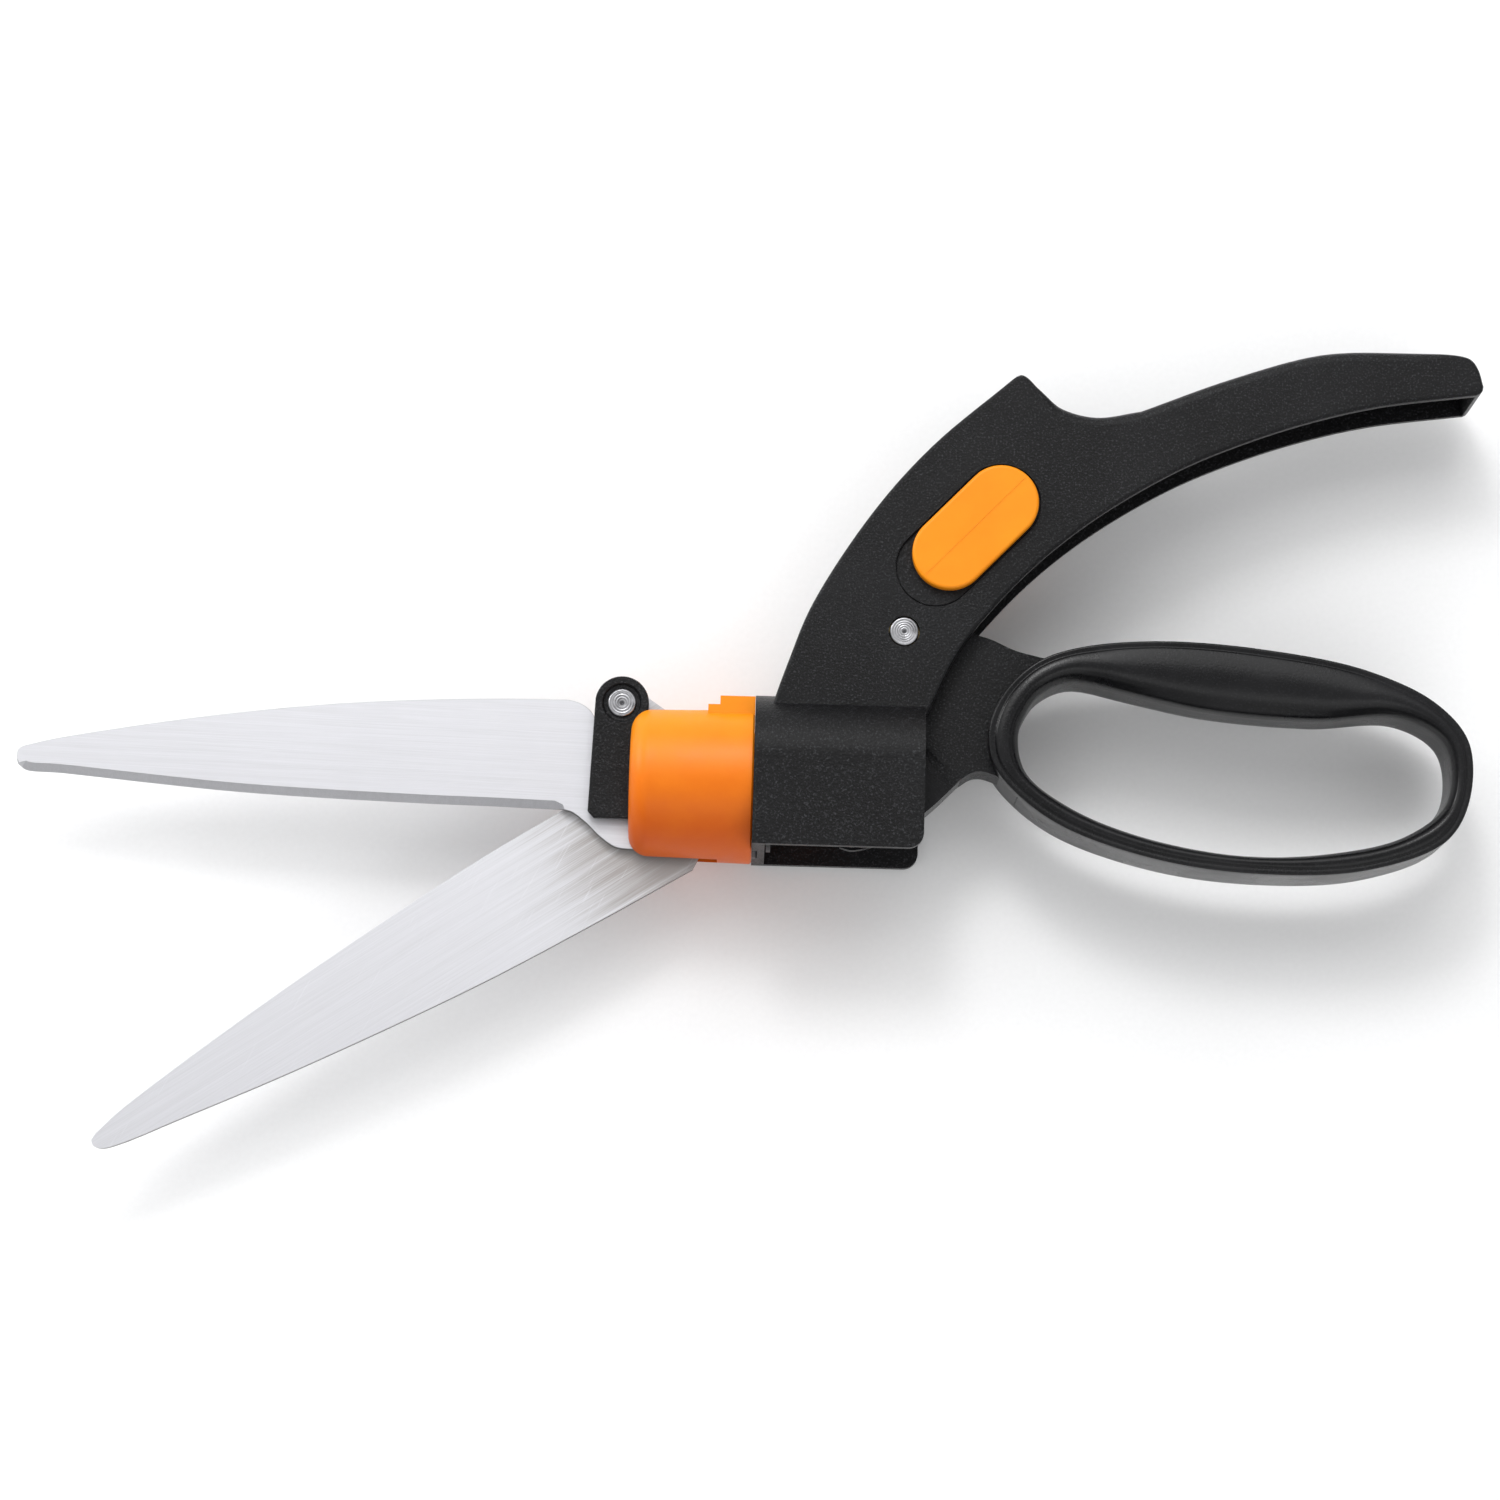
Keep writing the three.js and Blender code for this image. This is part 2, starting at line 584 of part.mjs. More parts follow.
const PAD_FACE = forkTip.x + FORK_PAD_R;
const WASHER_X = PAD_FACE + GAP;
const BUTTON_X = WASHER_X + 0.8 + 0.1;
const ROD_END = BUTTON_X + 2.3;

function rodButton() {
  return turnedX([
    [BUTTON_X, ROD_R + 0.1],
    [BUTTON_X, 4],
    [BUTTON_X + 1.4, 4],
    [BUTTON_X + 2, 3.4],
    [BUTTON_X + 2, ROD_R + 0.1],
    [BUTTON_X, ROD_R + 0.1],
  ], 32);
}

class Helix extends THREE.Curve {
  constructor(start, end, radius, turns) {
    super();
    Object.assign(this, { start, end, radius, turns });
  }

  getPoint(t, target = new THREE.Vector3()) {
    const angle = 2 * Math.PI * this.turns * t;
    const x = THREE.MathUtils.lerp(this.start, this.end, t);
    return target.set(x, this.radius * Math.cos(angle), this.radius * Math.sin(angle));
  }
}

function coilSpring(start, end, radius, wire, turns) {
  const section = new THREE.Shape();
  section.absarc(0, 0, wire, 0, 2 * Math.PI, false);
  const path = new Helix(start + wire, end - wire, radius, turns);
  const geometry = new THREE.ExtrudeGeometry(section, {
    steps: Math.round(turns * 14),
    curveSegments: 6,
    bevelEnabled: false,
    extrudePath: path,
  });
  return solid(geometry);
}

// A round pin with a head at both ends, held between the heights lo and hi.
function rivet(centre, shank, head, headThick, lo, hi, dimple = 0) {
  const profile = [
    [0, lo + dimple],
    [head * 0.4, lo],
    [head - 0.3, lo],
    [head, lo + 0.3],
    [head, lo + headThick],
    [shank, lo + headThick],
    [shank, hi - headThick],
    [head, hi - headThick],
    [head, hi - 0.3],
    [head - 0.3, hi],
    [head * 0.4, hi],
    [0, hi - dimple],
  ];
  return turnedZ(centre, profile, 28);
}

// ---- assembly -----------------------------------------------------------------------------

add('handle_body', handleBody(), 'mattBlack');
add('handle_pivot_rivet', turnedZ(PIVOT, [
  [0, -HANDLE_HALF + 0.5], [1.2, -HANDLE_HALF], [PIVOT_PIN_R, -HANDLE_HALF],
  [PIVOT_PIN_R, HANDLE_HALF], [1.2, HANDLE_HALF], [0, HANDLE_HALF - 0.5],
], 32), 'rivetSteel');
add('handle_pivot_bush', ring(PIVOT, PIVOT_PIN_R + 0.1, PIVOT_BUSH_R, -8.9, 8.9), 'brass');
add('bearing_bush', ringX(HOUSING_FRONT + 1.3, BEARING_END, JOURNAL_R + 0.1, BEARING_BORE_R - 0.1, 64), 'bearingWhite');
add('swivel_friction_ring', ringX(HOUSING_FRONT, HOUSING_FRONT + 0.9, 14.5, 16.3, 64), 'springSteel');

add('swivel_collar', swivelCollar(), 'orange');
add('collar_retaining_ring', ringX(BEARING_END + 0.3, BEARING_END + 1.3, JOURNAL_R - 0.7, 14.8, 48), 'springSteel');
add('fixed_blade', fixedBlade(), 'bladeSteel');
add('tang_pin', disc(TANG_PIN, TANG_PIN_R, -12, 5, 20), 'rivetSteel');
add('blade_pivot_rivet', rivet(BLADE_PIVOT, BLADE_RIVET_R, 4.4, 0.8, -3.65, 3.45, 0.2), 'rivetSteel');
add('blade_spring_washer', ring(BLADE_PIVOT, BLADE_RIVET_R + 0.1, 4.7, -2.75, -2.45, 28), 'springSteel');
add('spring_seat_washer', ringX(-3.3, -2.3, ROD_R + 0.4, TUBE_R - 0.2, 40), 'bearingWhite');

add('yoke', yoke(), 'mattBlack');
add('drive_rivet', rivet(DRIVE_PIN, DRIVE_RIVET_R, 3.2, 0.6, -YOKE_OUT, YOKE_OUT, 0.2), 'rivetSteel');
add('drive_bush', ring(DRIVE_PIN, DRIVE_RIVET_R + 0.1, DRIVE_BUSH_R, -3.6, 3.6, 28), 'brass');
add('pull_rod', pullRod(), 'rivetSteel');
add('thrust_washer', ringX(WASHER_X, WASHER_X + 0.8, ROD_R + 0.1, 4.3, 32), 'brass');
add('rod_button', rodButton(), 'rivetSteel');
add('return_spring', coilSpring(BRIDGE_RIGHT + GAP, -3.3 - GAP, SPRING_R, SPRING_WIRE_R, SPRING_TURNS), 'springSteel');

add('moving_blade', movingBlade(), 'bladeSteel');
add('lower_handle', lowerHandle(), 'satinBlack');

add('lock_button_front', lockButton(1), 'orange');
add('lock_button_back', lockButton(-1), 'orange');
add('lock_bar', lockBar(), 'mattBlack');
lockPins().forEach((pin, i) => {
  add(`lock_pin_${i + 1}`, disc(pin, LOCK_PIN_R, -HANDLE_HALF + 0.8, HANDLE_HALF - 0.8, 20), 'rivetSteel');
});

export default shears;
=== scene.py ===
"""Grass shears with a swivelling head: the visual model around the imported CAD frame."""

import math

import bmesh
import bpy
from mathutils import Matrix, Vector


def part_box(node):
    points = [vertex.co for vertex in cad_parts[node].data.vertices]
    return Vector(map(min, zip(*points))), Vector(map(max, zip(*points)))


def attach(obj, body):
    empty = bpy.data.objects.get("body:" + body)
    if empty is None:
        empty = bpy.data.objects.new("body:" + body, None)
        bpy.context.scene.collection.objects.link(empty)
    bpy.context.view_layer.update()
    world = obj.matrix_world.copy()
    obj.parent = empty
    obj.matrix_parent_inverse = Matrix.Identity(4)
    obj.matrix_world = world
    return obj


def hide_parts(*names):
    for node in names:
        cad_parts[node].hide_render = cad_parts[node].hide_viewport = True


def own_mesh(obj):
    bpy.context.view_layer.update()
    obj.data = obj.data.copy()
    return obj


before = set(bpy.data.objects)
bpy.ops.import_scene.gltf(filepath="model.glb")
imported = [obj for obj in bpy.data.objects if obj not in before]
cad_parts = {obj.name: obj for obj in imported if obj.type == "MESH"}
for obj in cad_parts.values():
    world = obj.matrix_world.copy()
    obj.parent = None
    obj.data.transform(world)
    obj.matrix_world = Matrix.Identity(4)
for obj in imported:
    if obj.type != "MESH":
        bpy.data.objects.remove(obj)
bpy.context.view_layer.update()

MM = 0.001


def centre_of(node):
    low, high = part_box(node)
    return (Vector(low) + Vector(high)) / 2


# ---- places taken from the frame, in millimetres ------------------------------------------

PIVOT = centre_of("handle_pivot_rivet") / MM
DRIVE = centre_of("drive_rivet") / MM
BLADE_PIVOT = centre_of("blade_pivot_rivet") / MM
TANG_PIN = centre_of("tang_pin") / MM
LOCK = centre_of("lock_button_front") / MM
MID = PIVOT.z
COLLAR_FRONT = Vector(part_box("swivel_collar")[0]).x / MM
YOKE_REAR = Vector(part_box("yoke")[1]).x / MM

# ---- driving dimensions, in millimetres, as in the CAD ------------------------------------

HANDLE_HALF = 11.5
HANDLE_WALL = 2.3
HOUSING_FRONT = -19.7
HOUSING_REAR = 18.6
HOUSING_HALF = 19.0
HOUSING_WALL = 2.4
HOUSING_TOP = 20.7
HOUSING_SPRING_LINE = 5.0
HOUSING_BOTTOM = -15.5
BEARING_END = -16.8
BEARING_BORE_R = 14.1
RING_SEAT_R = 16.6
RING_SEAT_DEPTH = 1.2
HOUSING_CORNER_R = 3.4
ARCH_STEPS = 64
GRIP_EDGE = 0.8
GRIP_BACK_EDGE = 2.5
GRIP_BACK = (46, 133)  # from and to along X
GRIP_RIBS = [(62, 73, 85.5), (84, 82.5, 93.5), (106, 90.5, 101), (126, 94.5, 102.3)]
RIB_HALF = 0.9
HUB_R = 9.5
HUB_HALF = 8.8
PIVOT_BUSH_HOLE_R = 4.7
FORK_REACH = 35.4
FORK_TURN = math.radians(-104.5)
FORK_PAD_R = 3.5
WEB_HALF = 6.0
LEVER_HALF = 5.0
WEB_STEP = 2.6
COLLAR_R = 17.3
JOURNAL_R = 12.2
JOURNAL_END = -1.2
INDEX_HALF = 8.5
INDEX_TOP = 19.4
INDEX_TAB_TOP = 17.4
TUBE_R = 8.2
CHANNEL_HALF = 6.0
TANG_HOLE_R = 1.5
EAR_R = 6.1
YOKE_OUT = 5.7
YOKE_IN = 3.9
BLADE_IN = 0.15
BLADE_OUT = 2.35
BLADE_BEVEL = 1.75
BLADE_LAND = 0.3
BLADE_BREAK = 0.12
BLADE_BURR = 0.08
BLADE_HOLE_R = 3.1
DRIVE_SLOT_REACH = 27.95
DRIVE_SLOT_LENGTH = 8.7
DRIVE_SLOT_R = 3.3
LOCK_ANGLE = math.radians(46.2)
LOCK_TRAVEL = 4.5
LOCK_BUTTON_R = 8.5
LOCK_BUTTON_THICK = 2.6
LOCK_TRACK_DEPTH = 0.8
LOCK_GROOVE_DEPTH = 0.5
TOOTH_TURN = LOCK_ANGLE - math.radians(14.5)
TOOTH_REACH = 16.9
LOCK_BUTTON_LENGTH = 33.6
LOCK_PIN_R = 1.6
LOCK_PIN_SPACING = 9.0
SPRING_R = 4.6
SPRING_WIRE_R = 0.45
SPRING_TURNS = 7.5
SPRING_PITCH_CLOSED = 0.95
SPRING_STEPS = 28
SPRING_SIDES = 10
SAME_POINT = 0.02
RING_SPACING = 0.00055  # metres, between the turning marks on the rivets


# ---- outlines -----------------------------------------------------------------------------


def catmull(p0, p1, p2, p3, t):
    """A point on the centripetal Catmull-Rom piece from p1 to p2."""
    knots = [0.0]
    for a, b in ((p0, p1), (p1, p2), (p2, p3)):
        knots.append(knots[-1] + max((b - a).length, 1e-6) ** 0.5)
    t0, t1, t2, t3 = knots
    t = t1 + (t2 - t1) * t
    a1 = p0 * ((t1 - t) / (t1 - t0)) + p1 * ((t - t0) / (t1 - t0))
    a2 = p1 * ((t2 - t) / (t2 - t1)) + p2 * ((t - t1) / (t2 - t1))
    a3 = p2 * ((t3 - t) / (t3 - t2)) + p3 * ((t - t2) / (t3 - t2))
    b1 = a1 * ((t2 - t) / (t2 - t0)) + a2 * ((t - t0) / (t2 - t0))
    b2 = a2 * ((t3 - t) / (t3 - t1)) + a3 * ((t - t1) / (t3 - t1))
    return b1 * ((t2 - t) / (t2 - t1)) + b2 * ((t - t1) / (t2 - t1))


def curve(*points, steps=8):
    """A smooth open run through the points."""
    p = [Vector(q) for q in points]
    p = [p[0] * 2 - p[1]] + p + [p[-1] * 2 - p[-2]]
    run = []
    for i in range(1, len(p) - 2):
        run += [catmull(p[i - 1], p[i], p[i + 1], p[i + 2], k / steps) for k in range(steps)]
    return run + [p[-2]]


def closed_curve(points, count):
    """`count` evenly spaced points on a smooth closed curve through the points."""
    p = [Vector(q) for q in points]
    n = len(p)
    dense = []
    for i in range(n):
        quad = (p[i - 1], p[i], p[(i + 1) % n], p[(i + 2) % n])
        dense += [catmull(*quad, k / 24) for k in range(24)]
    return resample(dense, count)


def resample(loop, count):
    """`count` points at equal steps along a closed polyline."""
    lengths = [0.0]
    for a, b in zip(loop, loop[1:] + loop[:1]):
        lengths.append(lengths[-1] + (b - a).length)
    out = []
    k = 0
    for i in range(count):
        s = lengths[-1] * i / count
        while lengths[k + 1] < s:
            k += 1
        t = (s - lengths[k]) / max(lengths[k + 1] - lengths[k], 1e-9)
        out.append(loop[k].lerp(loop[(k + 1) % len(loop)], t))
    return out


def line(*points):
    return [Vector(q) for q in points]


def arc(centre, radius, start, end, steps=12):
    """Points on an arc, angles in degrees."""
    c = Vector(centre)
    angles = [math.radians(start + (end - start) * k / steps) for k in range(steps + 1)]
    return [c + radius * Vector((math.cos(a), math.sin(a))) for a in angles]


def joined(*runs):
    """The runs joined into one open list of points with no doubled ones."""
    points = []
    for q in (q for run in runs for q in run):
        if not points or (q - points[-1]).length > SAME_POINT:
            points.append(q)
    return points


def outline(*runs):
    """The runs joined into one closed outline, counter-clockwise, with no doubled points."""
    points = joined(*runs)
    if (points[0] - points[-1]).length < SAME_POINT:
        points.pop()
    area = sum(a.x * b.y - b.x * a.y for a, b in zip(points, points[1:] + points[:1]))
    return points if area > 0 else points[::-1]


def stadium(centre, length, radius, angle, steps=24):
    centre = Vector((centre[0], centre[1]))
    along = Vector((math.cos(angle), math.sin(angle)))
    half = length / 2 - radius
    turn = math.degrees(angle)
    first = arc(centre + along * half, radius, turn - 90, turn + 90, steps)
    second = arc(centre - along * half, radius, turn + 90, turn + 270, steps)
    return outline(first, second)


def inset_point(points, i, distance):
    """Point i of a closed outline moved inwards by `distance`, with a mitred corner."""
    p = points[i]
    before = (p - points[i - 1]).normalized()
    after = (points[(i + 1) % len(points)] - p).normalized()
    n1 = Vector((-before.y, before.x))
    n2 = Vector((-after.y, after.x))
    mean = n1 + n2
    mean = mean.normalized() if mean.length > 1e-6 else n1
    return p + mean * (distance / max(mean.dot(n1), 0.5))


def inset(points, distance):
    """A closed outline moved inwards by `distance`."""
    return [inset_point(points, i, distance) for i in range(len(points))]


# ---- mesh building ------------------------------------------------------------------------


def mesh_object(name, vertices, faces):
    """An object from vertices in millimetres about the mid-plane of the shears."""
    mesh = bpy.data.meshes.new(name)
    lifted = [(x * MM, y * MM, (z + MID) * MM) for x, y, z in vertices]
    mesh.from_pydata(lifted, [], faces)
    bm = bmesh.new()
    bm.from_mesh(mesh)
    bmesh.ops.remove_doubles(bm, verts=bm.verts, dist=1e-7)
    bmesh.ops.recalc_face_normals(bm, faces=bm.faces)
    bm.to_mesh(mesh)
    bm.free()
    obj = bpy.data.objects.new(name, mesh)
    bpy.context.scene.collection.objects.link(obj)
    return obj


def stack(name, layers, closed=True):
    """A skin over rings of points, one above the other, with flat caps (or joined round)."""
    n = len(layers[0])
    vertices = [p for ring in layers for p in ring]
    faces = []
    last = len(layers) if not closed else len(layers) - 1
    for k in range(last):
        a = k * n
        b = ((k + 1) % len(layers)) * n
        faces += [(a + i, a + (i + 1) % n, b + (i + 1) % n, b + i) for i in range(n)]
    if closed:
        faces.append(tuple(reversed(range(n))))
        faces.append(tuple(range((len(layers) - 1) * n, len(layers) * n)))
    return mesh_object(name, vertices, faces)


def plate(name, points, low, high, edge=0.0, rounds=4, edge_low=None):
    """An outline extruded from z = low to high with rounded edges of radius `edge`."""
    edge_low = edge if edge_low is None else edge_low
    levels = []
    for k in range(rounds + 1):
        a = math.pi / 2 * k / rounds
        levels.append((low + edge_low * (1 - math.sin(a)), edge_low * (1 - math.cos(a))))
    levels = levels[::-1] if edge_low else [(low, 0.0)]
    tops = []
    for k in range(rounds + 1):
        a = math.pi / 2 * k / rounds
        tops.append((high - edge * (1 - math.sin(a)), edge * (1 - math.cos(a))))
    levels += tops if edge else [(high, 0.0)]
    layers = []
    for z, d in levels:
        ring = inset(points, d) if d else points
        layers.append([(p.x, p.y, z) for p in ring])
    return stack(name, layers)


def along_x(name, section, low, high):
    """A (z, y) section extruded along the swivel axis."""
    return stack(name, [[(x, p.y, p.x) for p in section] for x in (low, high)])


def turned_x(name, profile, segments=96):
    """A body turned about the swivel axis from a profile of (x, radius), ends on the axis."""
    return turned(name, profile, segments, lambda x, r, c, s: (x, r * c, r * s))


def turned_z(name, centre, profile, segments=64):
    """A body turned about a vertical axis from a profile of (radius, z)."""
    def place(r, z, c, s):
        return (centre[0] + r * c, centre[1] + r * s, z)

    return turned(name, profile, segments, place)


def turned(name, profile, segments, place):
    vertices = []
    for i in range(segments):
        a = 2 * math.pi * i / segments
        vertices += [place(p, q, math.cos(a), math.sin(a)) for p, q in profile]
    m = len(profile)
    faces = []
    for i in range(segments):
        j = (i + 1) % segments
        faces += [(i * m + k, i * m + k + 1, j * m + k + 1, j * m + k) for k in range(m - 1)]
    return mesh_object(name, vertices, faces)


def bar_z(name, centre, radius, low, high, segments=64):
    """A round bar about a vertical axis, from z = low to high."""
    profile = [(0, low), (radius, low), (radius, high), (0, high)]
    return turned_z(name, centre, profile, segments)


def block(name, x, y, z):
    """A block from its low and high limits on each axis."""
    corners = [Vector((x[0], y[0])), Vector((x[1], y[0])), Vector((x[1], y[1])), Vector((x[0], y[1]))]
    return plate(name, corners, z[0], z[1])


def combine(obj, tools, operation):
    """Joins or cuts obj with each tool in turn, and removes the tools."""
    for tool in tools:
        modifier = obj.modifiers.new("boolean", "BOOLEAN")
        modifier.operation = operation
        modifier.object = tool
        modifier.solver = "EXACT"
        modifier.material_mode = "TRANSFER"
        apply_modifiers(obj)
        bpy.data.objects.remove(tool)
    return obj


def cut(obj, *tools):
    return combine(obj, tools, "DIFFERENCE")


def join(obj, *tools):
    return combine(obj, tools, "UNION")


def apply_modifiers(obj):
    graph = bpy.context.evaluated_depsgraph_get()
    mesh = bpy.data.meshes.new_from_object(obj.evaluated_get(graph))
    obj.modifiers.clear()
    obj.data = mesh


def soften(obj, width=0.25, angle=32, segments=3):
    """Small rounded edges, as a moulded or deburred piece has, and smooth shading."""
    bm = bmesh.new()
    bm.from_mesh(obj.data)
    bmesh.ops.remove_doubles(bm, verts=bm.verts, dist=2e-6)
    bmesh.ops.dissolve_degenerate(bm, edges=bm.edges, dist=1e-6)
    bm.to_mesh(obj.data)
    bm.free()
    if width:
        bevel = obj.modifiers.new("bevel", "BEVEL")
        bevel.width = width * MM
        bevel.segments = segments
        bevel.limit_method = "ANGLE"
        bevel.angle_limit = math.radians(angle)
        bevel.use_clamp_overlap = True
        bevel.miter_outer = "MITER_ARC"
        apply_modifiers(obj)
    obj.data.validate()
    obj.data.shade_smooth()
    obj.data.set_sharp_from_angle(angle=math.radians(angle))
    weighted = obj.modifiers.new("normals", "WEIGHTED_NORMAL")
    weighted.keep_sharp = True
    return obj


# ---- materials ----------------------------------------------------------------------------


class Nodes:
    """A material's node tree, built with short calls."""

    def __init__(self, name, **sockets):
        self.material = bpy.data.materials.new(name)
        self.material.use_nodes = True
        self.tree = self.material.node_tree
        self.shader = self.tree.nodes["Principled BSDF"]
        for key, value in sockets.items():
            self.shader.inputs[key.replace("_", " ")].default_value = value
        self.place = self.add("ShaderNodeTexCoord").outputs["Object"]

    def add(self, kind, **settings):
        node = self.tree.nodes.new(kind)
        for key, value in settings.items():
            setattr(node, key, value)
        return node

    def link(self, source, target):
        self.tree.links.new(source, target)

    def math(self, operation, a, b=None, clamp=False):
        node = self.add("ShaderNodeMath", operation=operation, use_clamp=clamp)
        for socket, value in zip(node.inputs, (a, b)):
            if value is None:
                continue
            if isinstance(value, (int, float)):
                socket.default_value = value
            else:
                self.link(value, socket)
        return node.outputs[0]

    def mapped(self, scale=(1, 1, 1), angle=0.0, origin=(0, 0, 0)):
        """Object coordinates about `origin`, turned by `angle` about Z, then scaled."""
        shift = self.add("ShaderNodeMapping")
        shift.inputs["Location"].default_value = [-c for c in origin]
        self.link(self.place, shift.inputs["Vector"])
        turn = self.add("ShaderNodeMapping")
        turn.inputs["Rotation"].default_value = (0, 0, -angle)
        self.link(shift.outputs[0], turn.inputs["Vector"])
        size = self.add("ShaderNodeMapping")
        size.inputs["Scale"].default_value = scale
        self.link(turn.outputs[0], size.inputs["Vector"])
        return size.outputs[0]

    def noise(self, scale, detail=2.0, rough=0.5, vector=None):
        node = self.add("ShaderNodeTexNoise")
        node.inputs["Scale"].default_value = scale
        node.inputs["Detail"].default_value = detail
        node.inputs["Roughness"].default_value = rough
        self.link(vector or self.place, node.inputs["Vector"])
        return node.outputs["Fac"]

    def ramp(self, value, low, high, out_low=0.0, out_high=1.0):
        node = self.add("ShaderNodeMapRange")
        node.inputs["From Min"].default_value = low
        node.inputs["From Max"].default_value = high
        node.inputs["To Min"].default_value = out_low
        node.inputs["To Max"].default_value = out_high
        self.link(value, node.inputs["Value"])
        return node.outputs["Result"]

    def colours(self, value, *stops):
        node = self.add("ShaderNodeValToRGB")
        ramp = node.color_ramp
        while len(ramp.elements) < len(stops):
            ramp.elements.new(0.5)
        for element, (at, colour) in zip(ramp.elements, stops):
            element.position = at
            element.color = (*colour, 1)
        self.link(value, node.inputs["Fac"])
        return node.outputs["Color"]

    def bump(self, height, strength, distance):
        node = self.add("ShaderNodeBump")
        node.inputs["Strength"].default_value = strength
        node.inputs["Distance"].default_value = distance
        self.link(height, node.inputs["Height"])
        return node.outputs["Normal"]

    def out(self, **links):
        for key, source in links.items():
            self.link(source, self.shader.inputs[key.replace("_", " ")])
        return self.material


def textured_black():
    """Spark-eroded black moulding: fine grain with small bright facets, duller where handled."""
    m = Nodes("textured_black", Specular_IOR_Level=0.17)
    grain = m.noise(1900, 3.0, 0.6)
    sparkle = m.ramp(m.noise(2200, 1.5), 0.55, 0.72)
    wear = m.ramp(m.noise(34, 4.0), 0.45, 0.75)
    tone = m.math("ADD", m.math("MULTIPLY", sparkle, 0.62), m.math("MULTIPLY", wear, 0.10), True)
    colour = m.colours(tone, (0.0, (0.0028, 0.0028, 0.0032)), (1.0, (0.040, 0.041, 0.045)))
    rough = m.ramp(m.noise(900, 2.0), 0.3, 0.7, 0.30, 0.42)
    normal = m.bump(grain, 0.75, 0.00026)
    return m.out(Base_Color=colour, Roughness=rough, Normal=normal)


def satin_black():
    """Smooth satin black moulding of the loop, with a fine grain and handling marks."""
    m = Nodes("satin_black", Specular_IOR_Level=0.24)
    cloud = m.noise(55, 4.0, 0.6)
    peel = m.noise(1700, 2.0)
    fleck = m.math("MULTIPLY", m.ramp(m.noise(2300, 1.0), 0.56, 0.74), 0.35)
    tone = m.math("ADD", m.math("MULTIPLY", cloud, 0.6), fleck, True)
    colour = m.colours(tone, (0.2, (0.0028, 0.0028, 0.0032)), (0.85, (0.018, 0.018, 0.020)))
    rough = m.ramp(cloud, 0.3, 0.7, 0.23, 0.34)
    normal = m.bump(peel, 0.22, 0.00015)
    return m.out(Base_Color=colour, Roughness=rough, Normal=normal)


def orange_plastic():
    """Orange moulding with cloudy flow marks, and painted light: paler towards the upper side of the
    collar and darker below, standing in for its shading.
    """
    m = Nodes("orange_plastic", Specular_IOR_Level=0.22)
    cloud = m.noise(90, 5.0, 0.65)
    flow = m.noise(26, 3.0, 0.5, m.mapped((1, 2.2, 1)))
    axes = m.add("ShaderNodeSeparateXYZ")
    m.link(m.place, axes.inputs[0])
    # painted light: the colour grows paler up the collar and darker down it, as light falls on the round
    # collar
    height = m.ramp(axes.outputs["Y"], -0.014, 0.013)
    mixed = m.math("ADD", m.math("MULTIPLY", cloud, 0.22), m.math("MULTIPLY", flow, 0.20))
    mixed = m.math("ADD", mixed, m.math("MULTIPLY", height, 0.58))
    colour = m.colours(mixed, (0.18, (0.56, 0.085, 0.003)), (0.50, (0.72, 0.165, 0.003)),
                       (0.86, (0.80, 0.265, 0.004)))
    rough = m.ramp(cloud, 0.3, 0.7, 0.32, 0.46)
    normal = m.bump(m.noise(1500, 3.0, 0.6), 0.26, 0.00012)
    return m.out(Base_Color=colour, Roughness=rough, Normal=normal)


def brushed_steel(name, angle, across=False, bright=0.63, painted_shade=None, scars=0.0):
    """Ground steel with its grain along `angle`, faint clouds and a few stray scratches.

    Given (centre, near, far), it darkens the steel around that point as painted shade, the collar's shadow
    on the blade; scars is the strength of scratches.
    """
    m = Nodes(name, Metallic=0.72, IOR=1.5)
    turn = angle + (math.pi / 2 if across else 0)
    grain = m.noise(1.0, 4.0, 0.65, m.mapped((45, 3600, 3600), turn))
    coarse = m.noise(1.0, 3.0, 0.6, m.mapped((14, 700, 700), turn))
    scratch = m.ramp(m.noise(1.0, 1.0, 0.3, m.mapped((90, 2600, 300), turn + 0.5)), 0.70, 0.76)
    cloud = m.noise(30, 4.0, 0.6)
    tone = m.math("ADD", m.math("MULTIPLY", grain, 0.5), m.math("MULTIPLY", coarse, 0.3))
    tone = m.math("ADD", tone, m.math("MULTIPLY", cloud, 0.2))
    tone = m.math("ADD", tone, m.math("MULTIPLY", scratch, scars), True)
    # painted shade: darker steel round the given point, standing in for the collar's shadow on the blade
    if painted_shade:
        centre, near, far = painted_shade
        length = m.add("ShaderNodeVectorMath", operation="LENGTH")
        m.link(m.mapped((1, 1, 0), 0, [c * MM for c in centre]), length.inputs[0])
        reach = m.math("ADD", length.outputs["Value"], m.math("MULTIPLY", coarse, 0.012))
        tone = m.math("SUBTRACT", tone, m.ramp(reach, near * MM, far * MM, 0.55, 0.0), True)
    # the lowest stop is the steel's wear, and near the pivot it is also the colour of the painted shade
    wear_and_shade = tuple(bright * c for c in (0.50, 0.47, 0.455))
    dark = tuple(bright * c for c in (0.84, 0.84, 0.87))
    light = tuple(min(bright * c, 1.0) for c in (1.06, 1.06, 1.11))
    colour = m.colours(tone, (0.0, wear_and_shade), (0.30, dark), (0.72, light))
    gloss = m.ramp(tone, 0.3, 0.7, 0.46, 0.32)
    normal = m.bump(grain, 0.35, 0.00004)
    return m.out(Base_Color=colour, Roughness=gloss, Normal=normal)


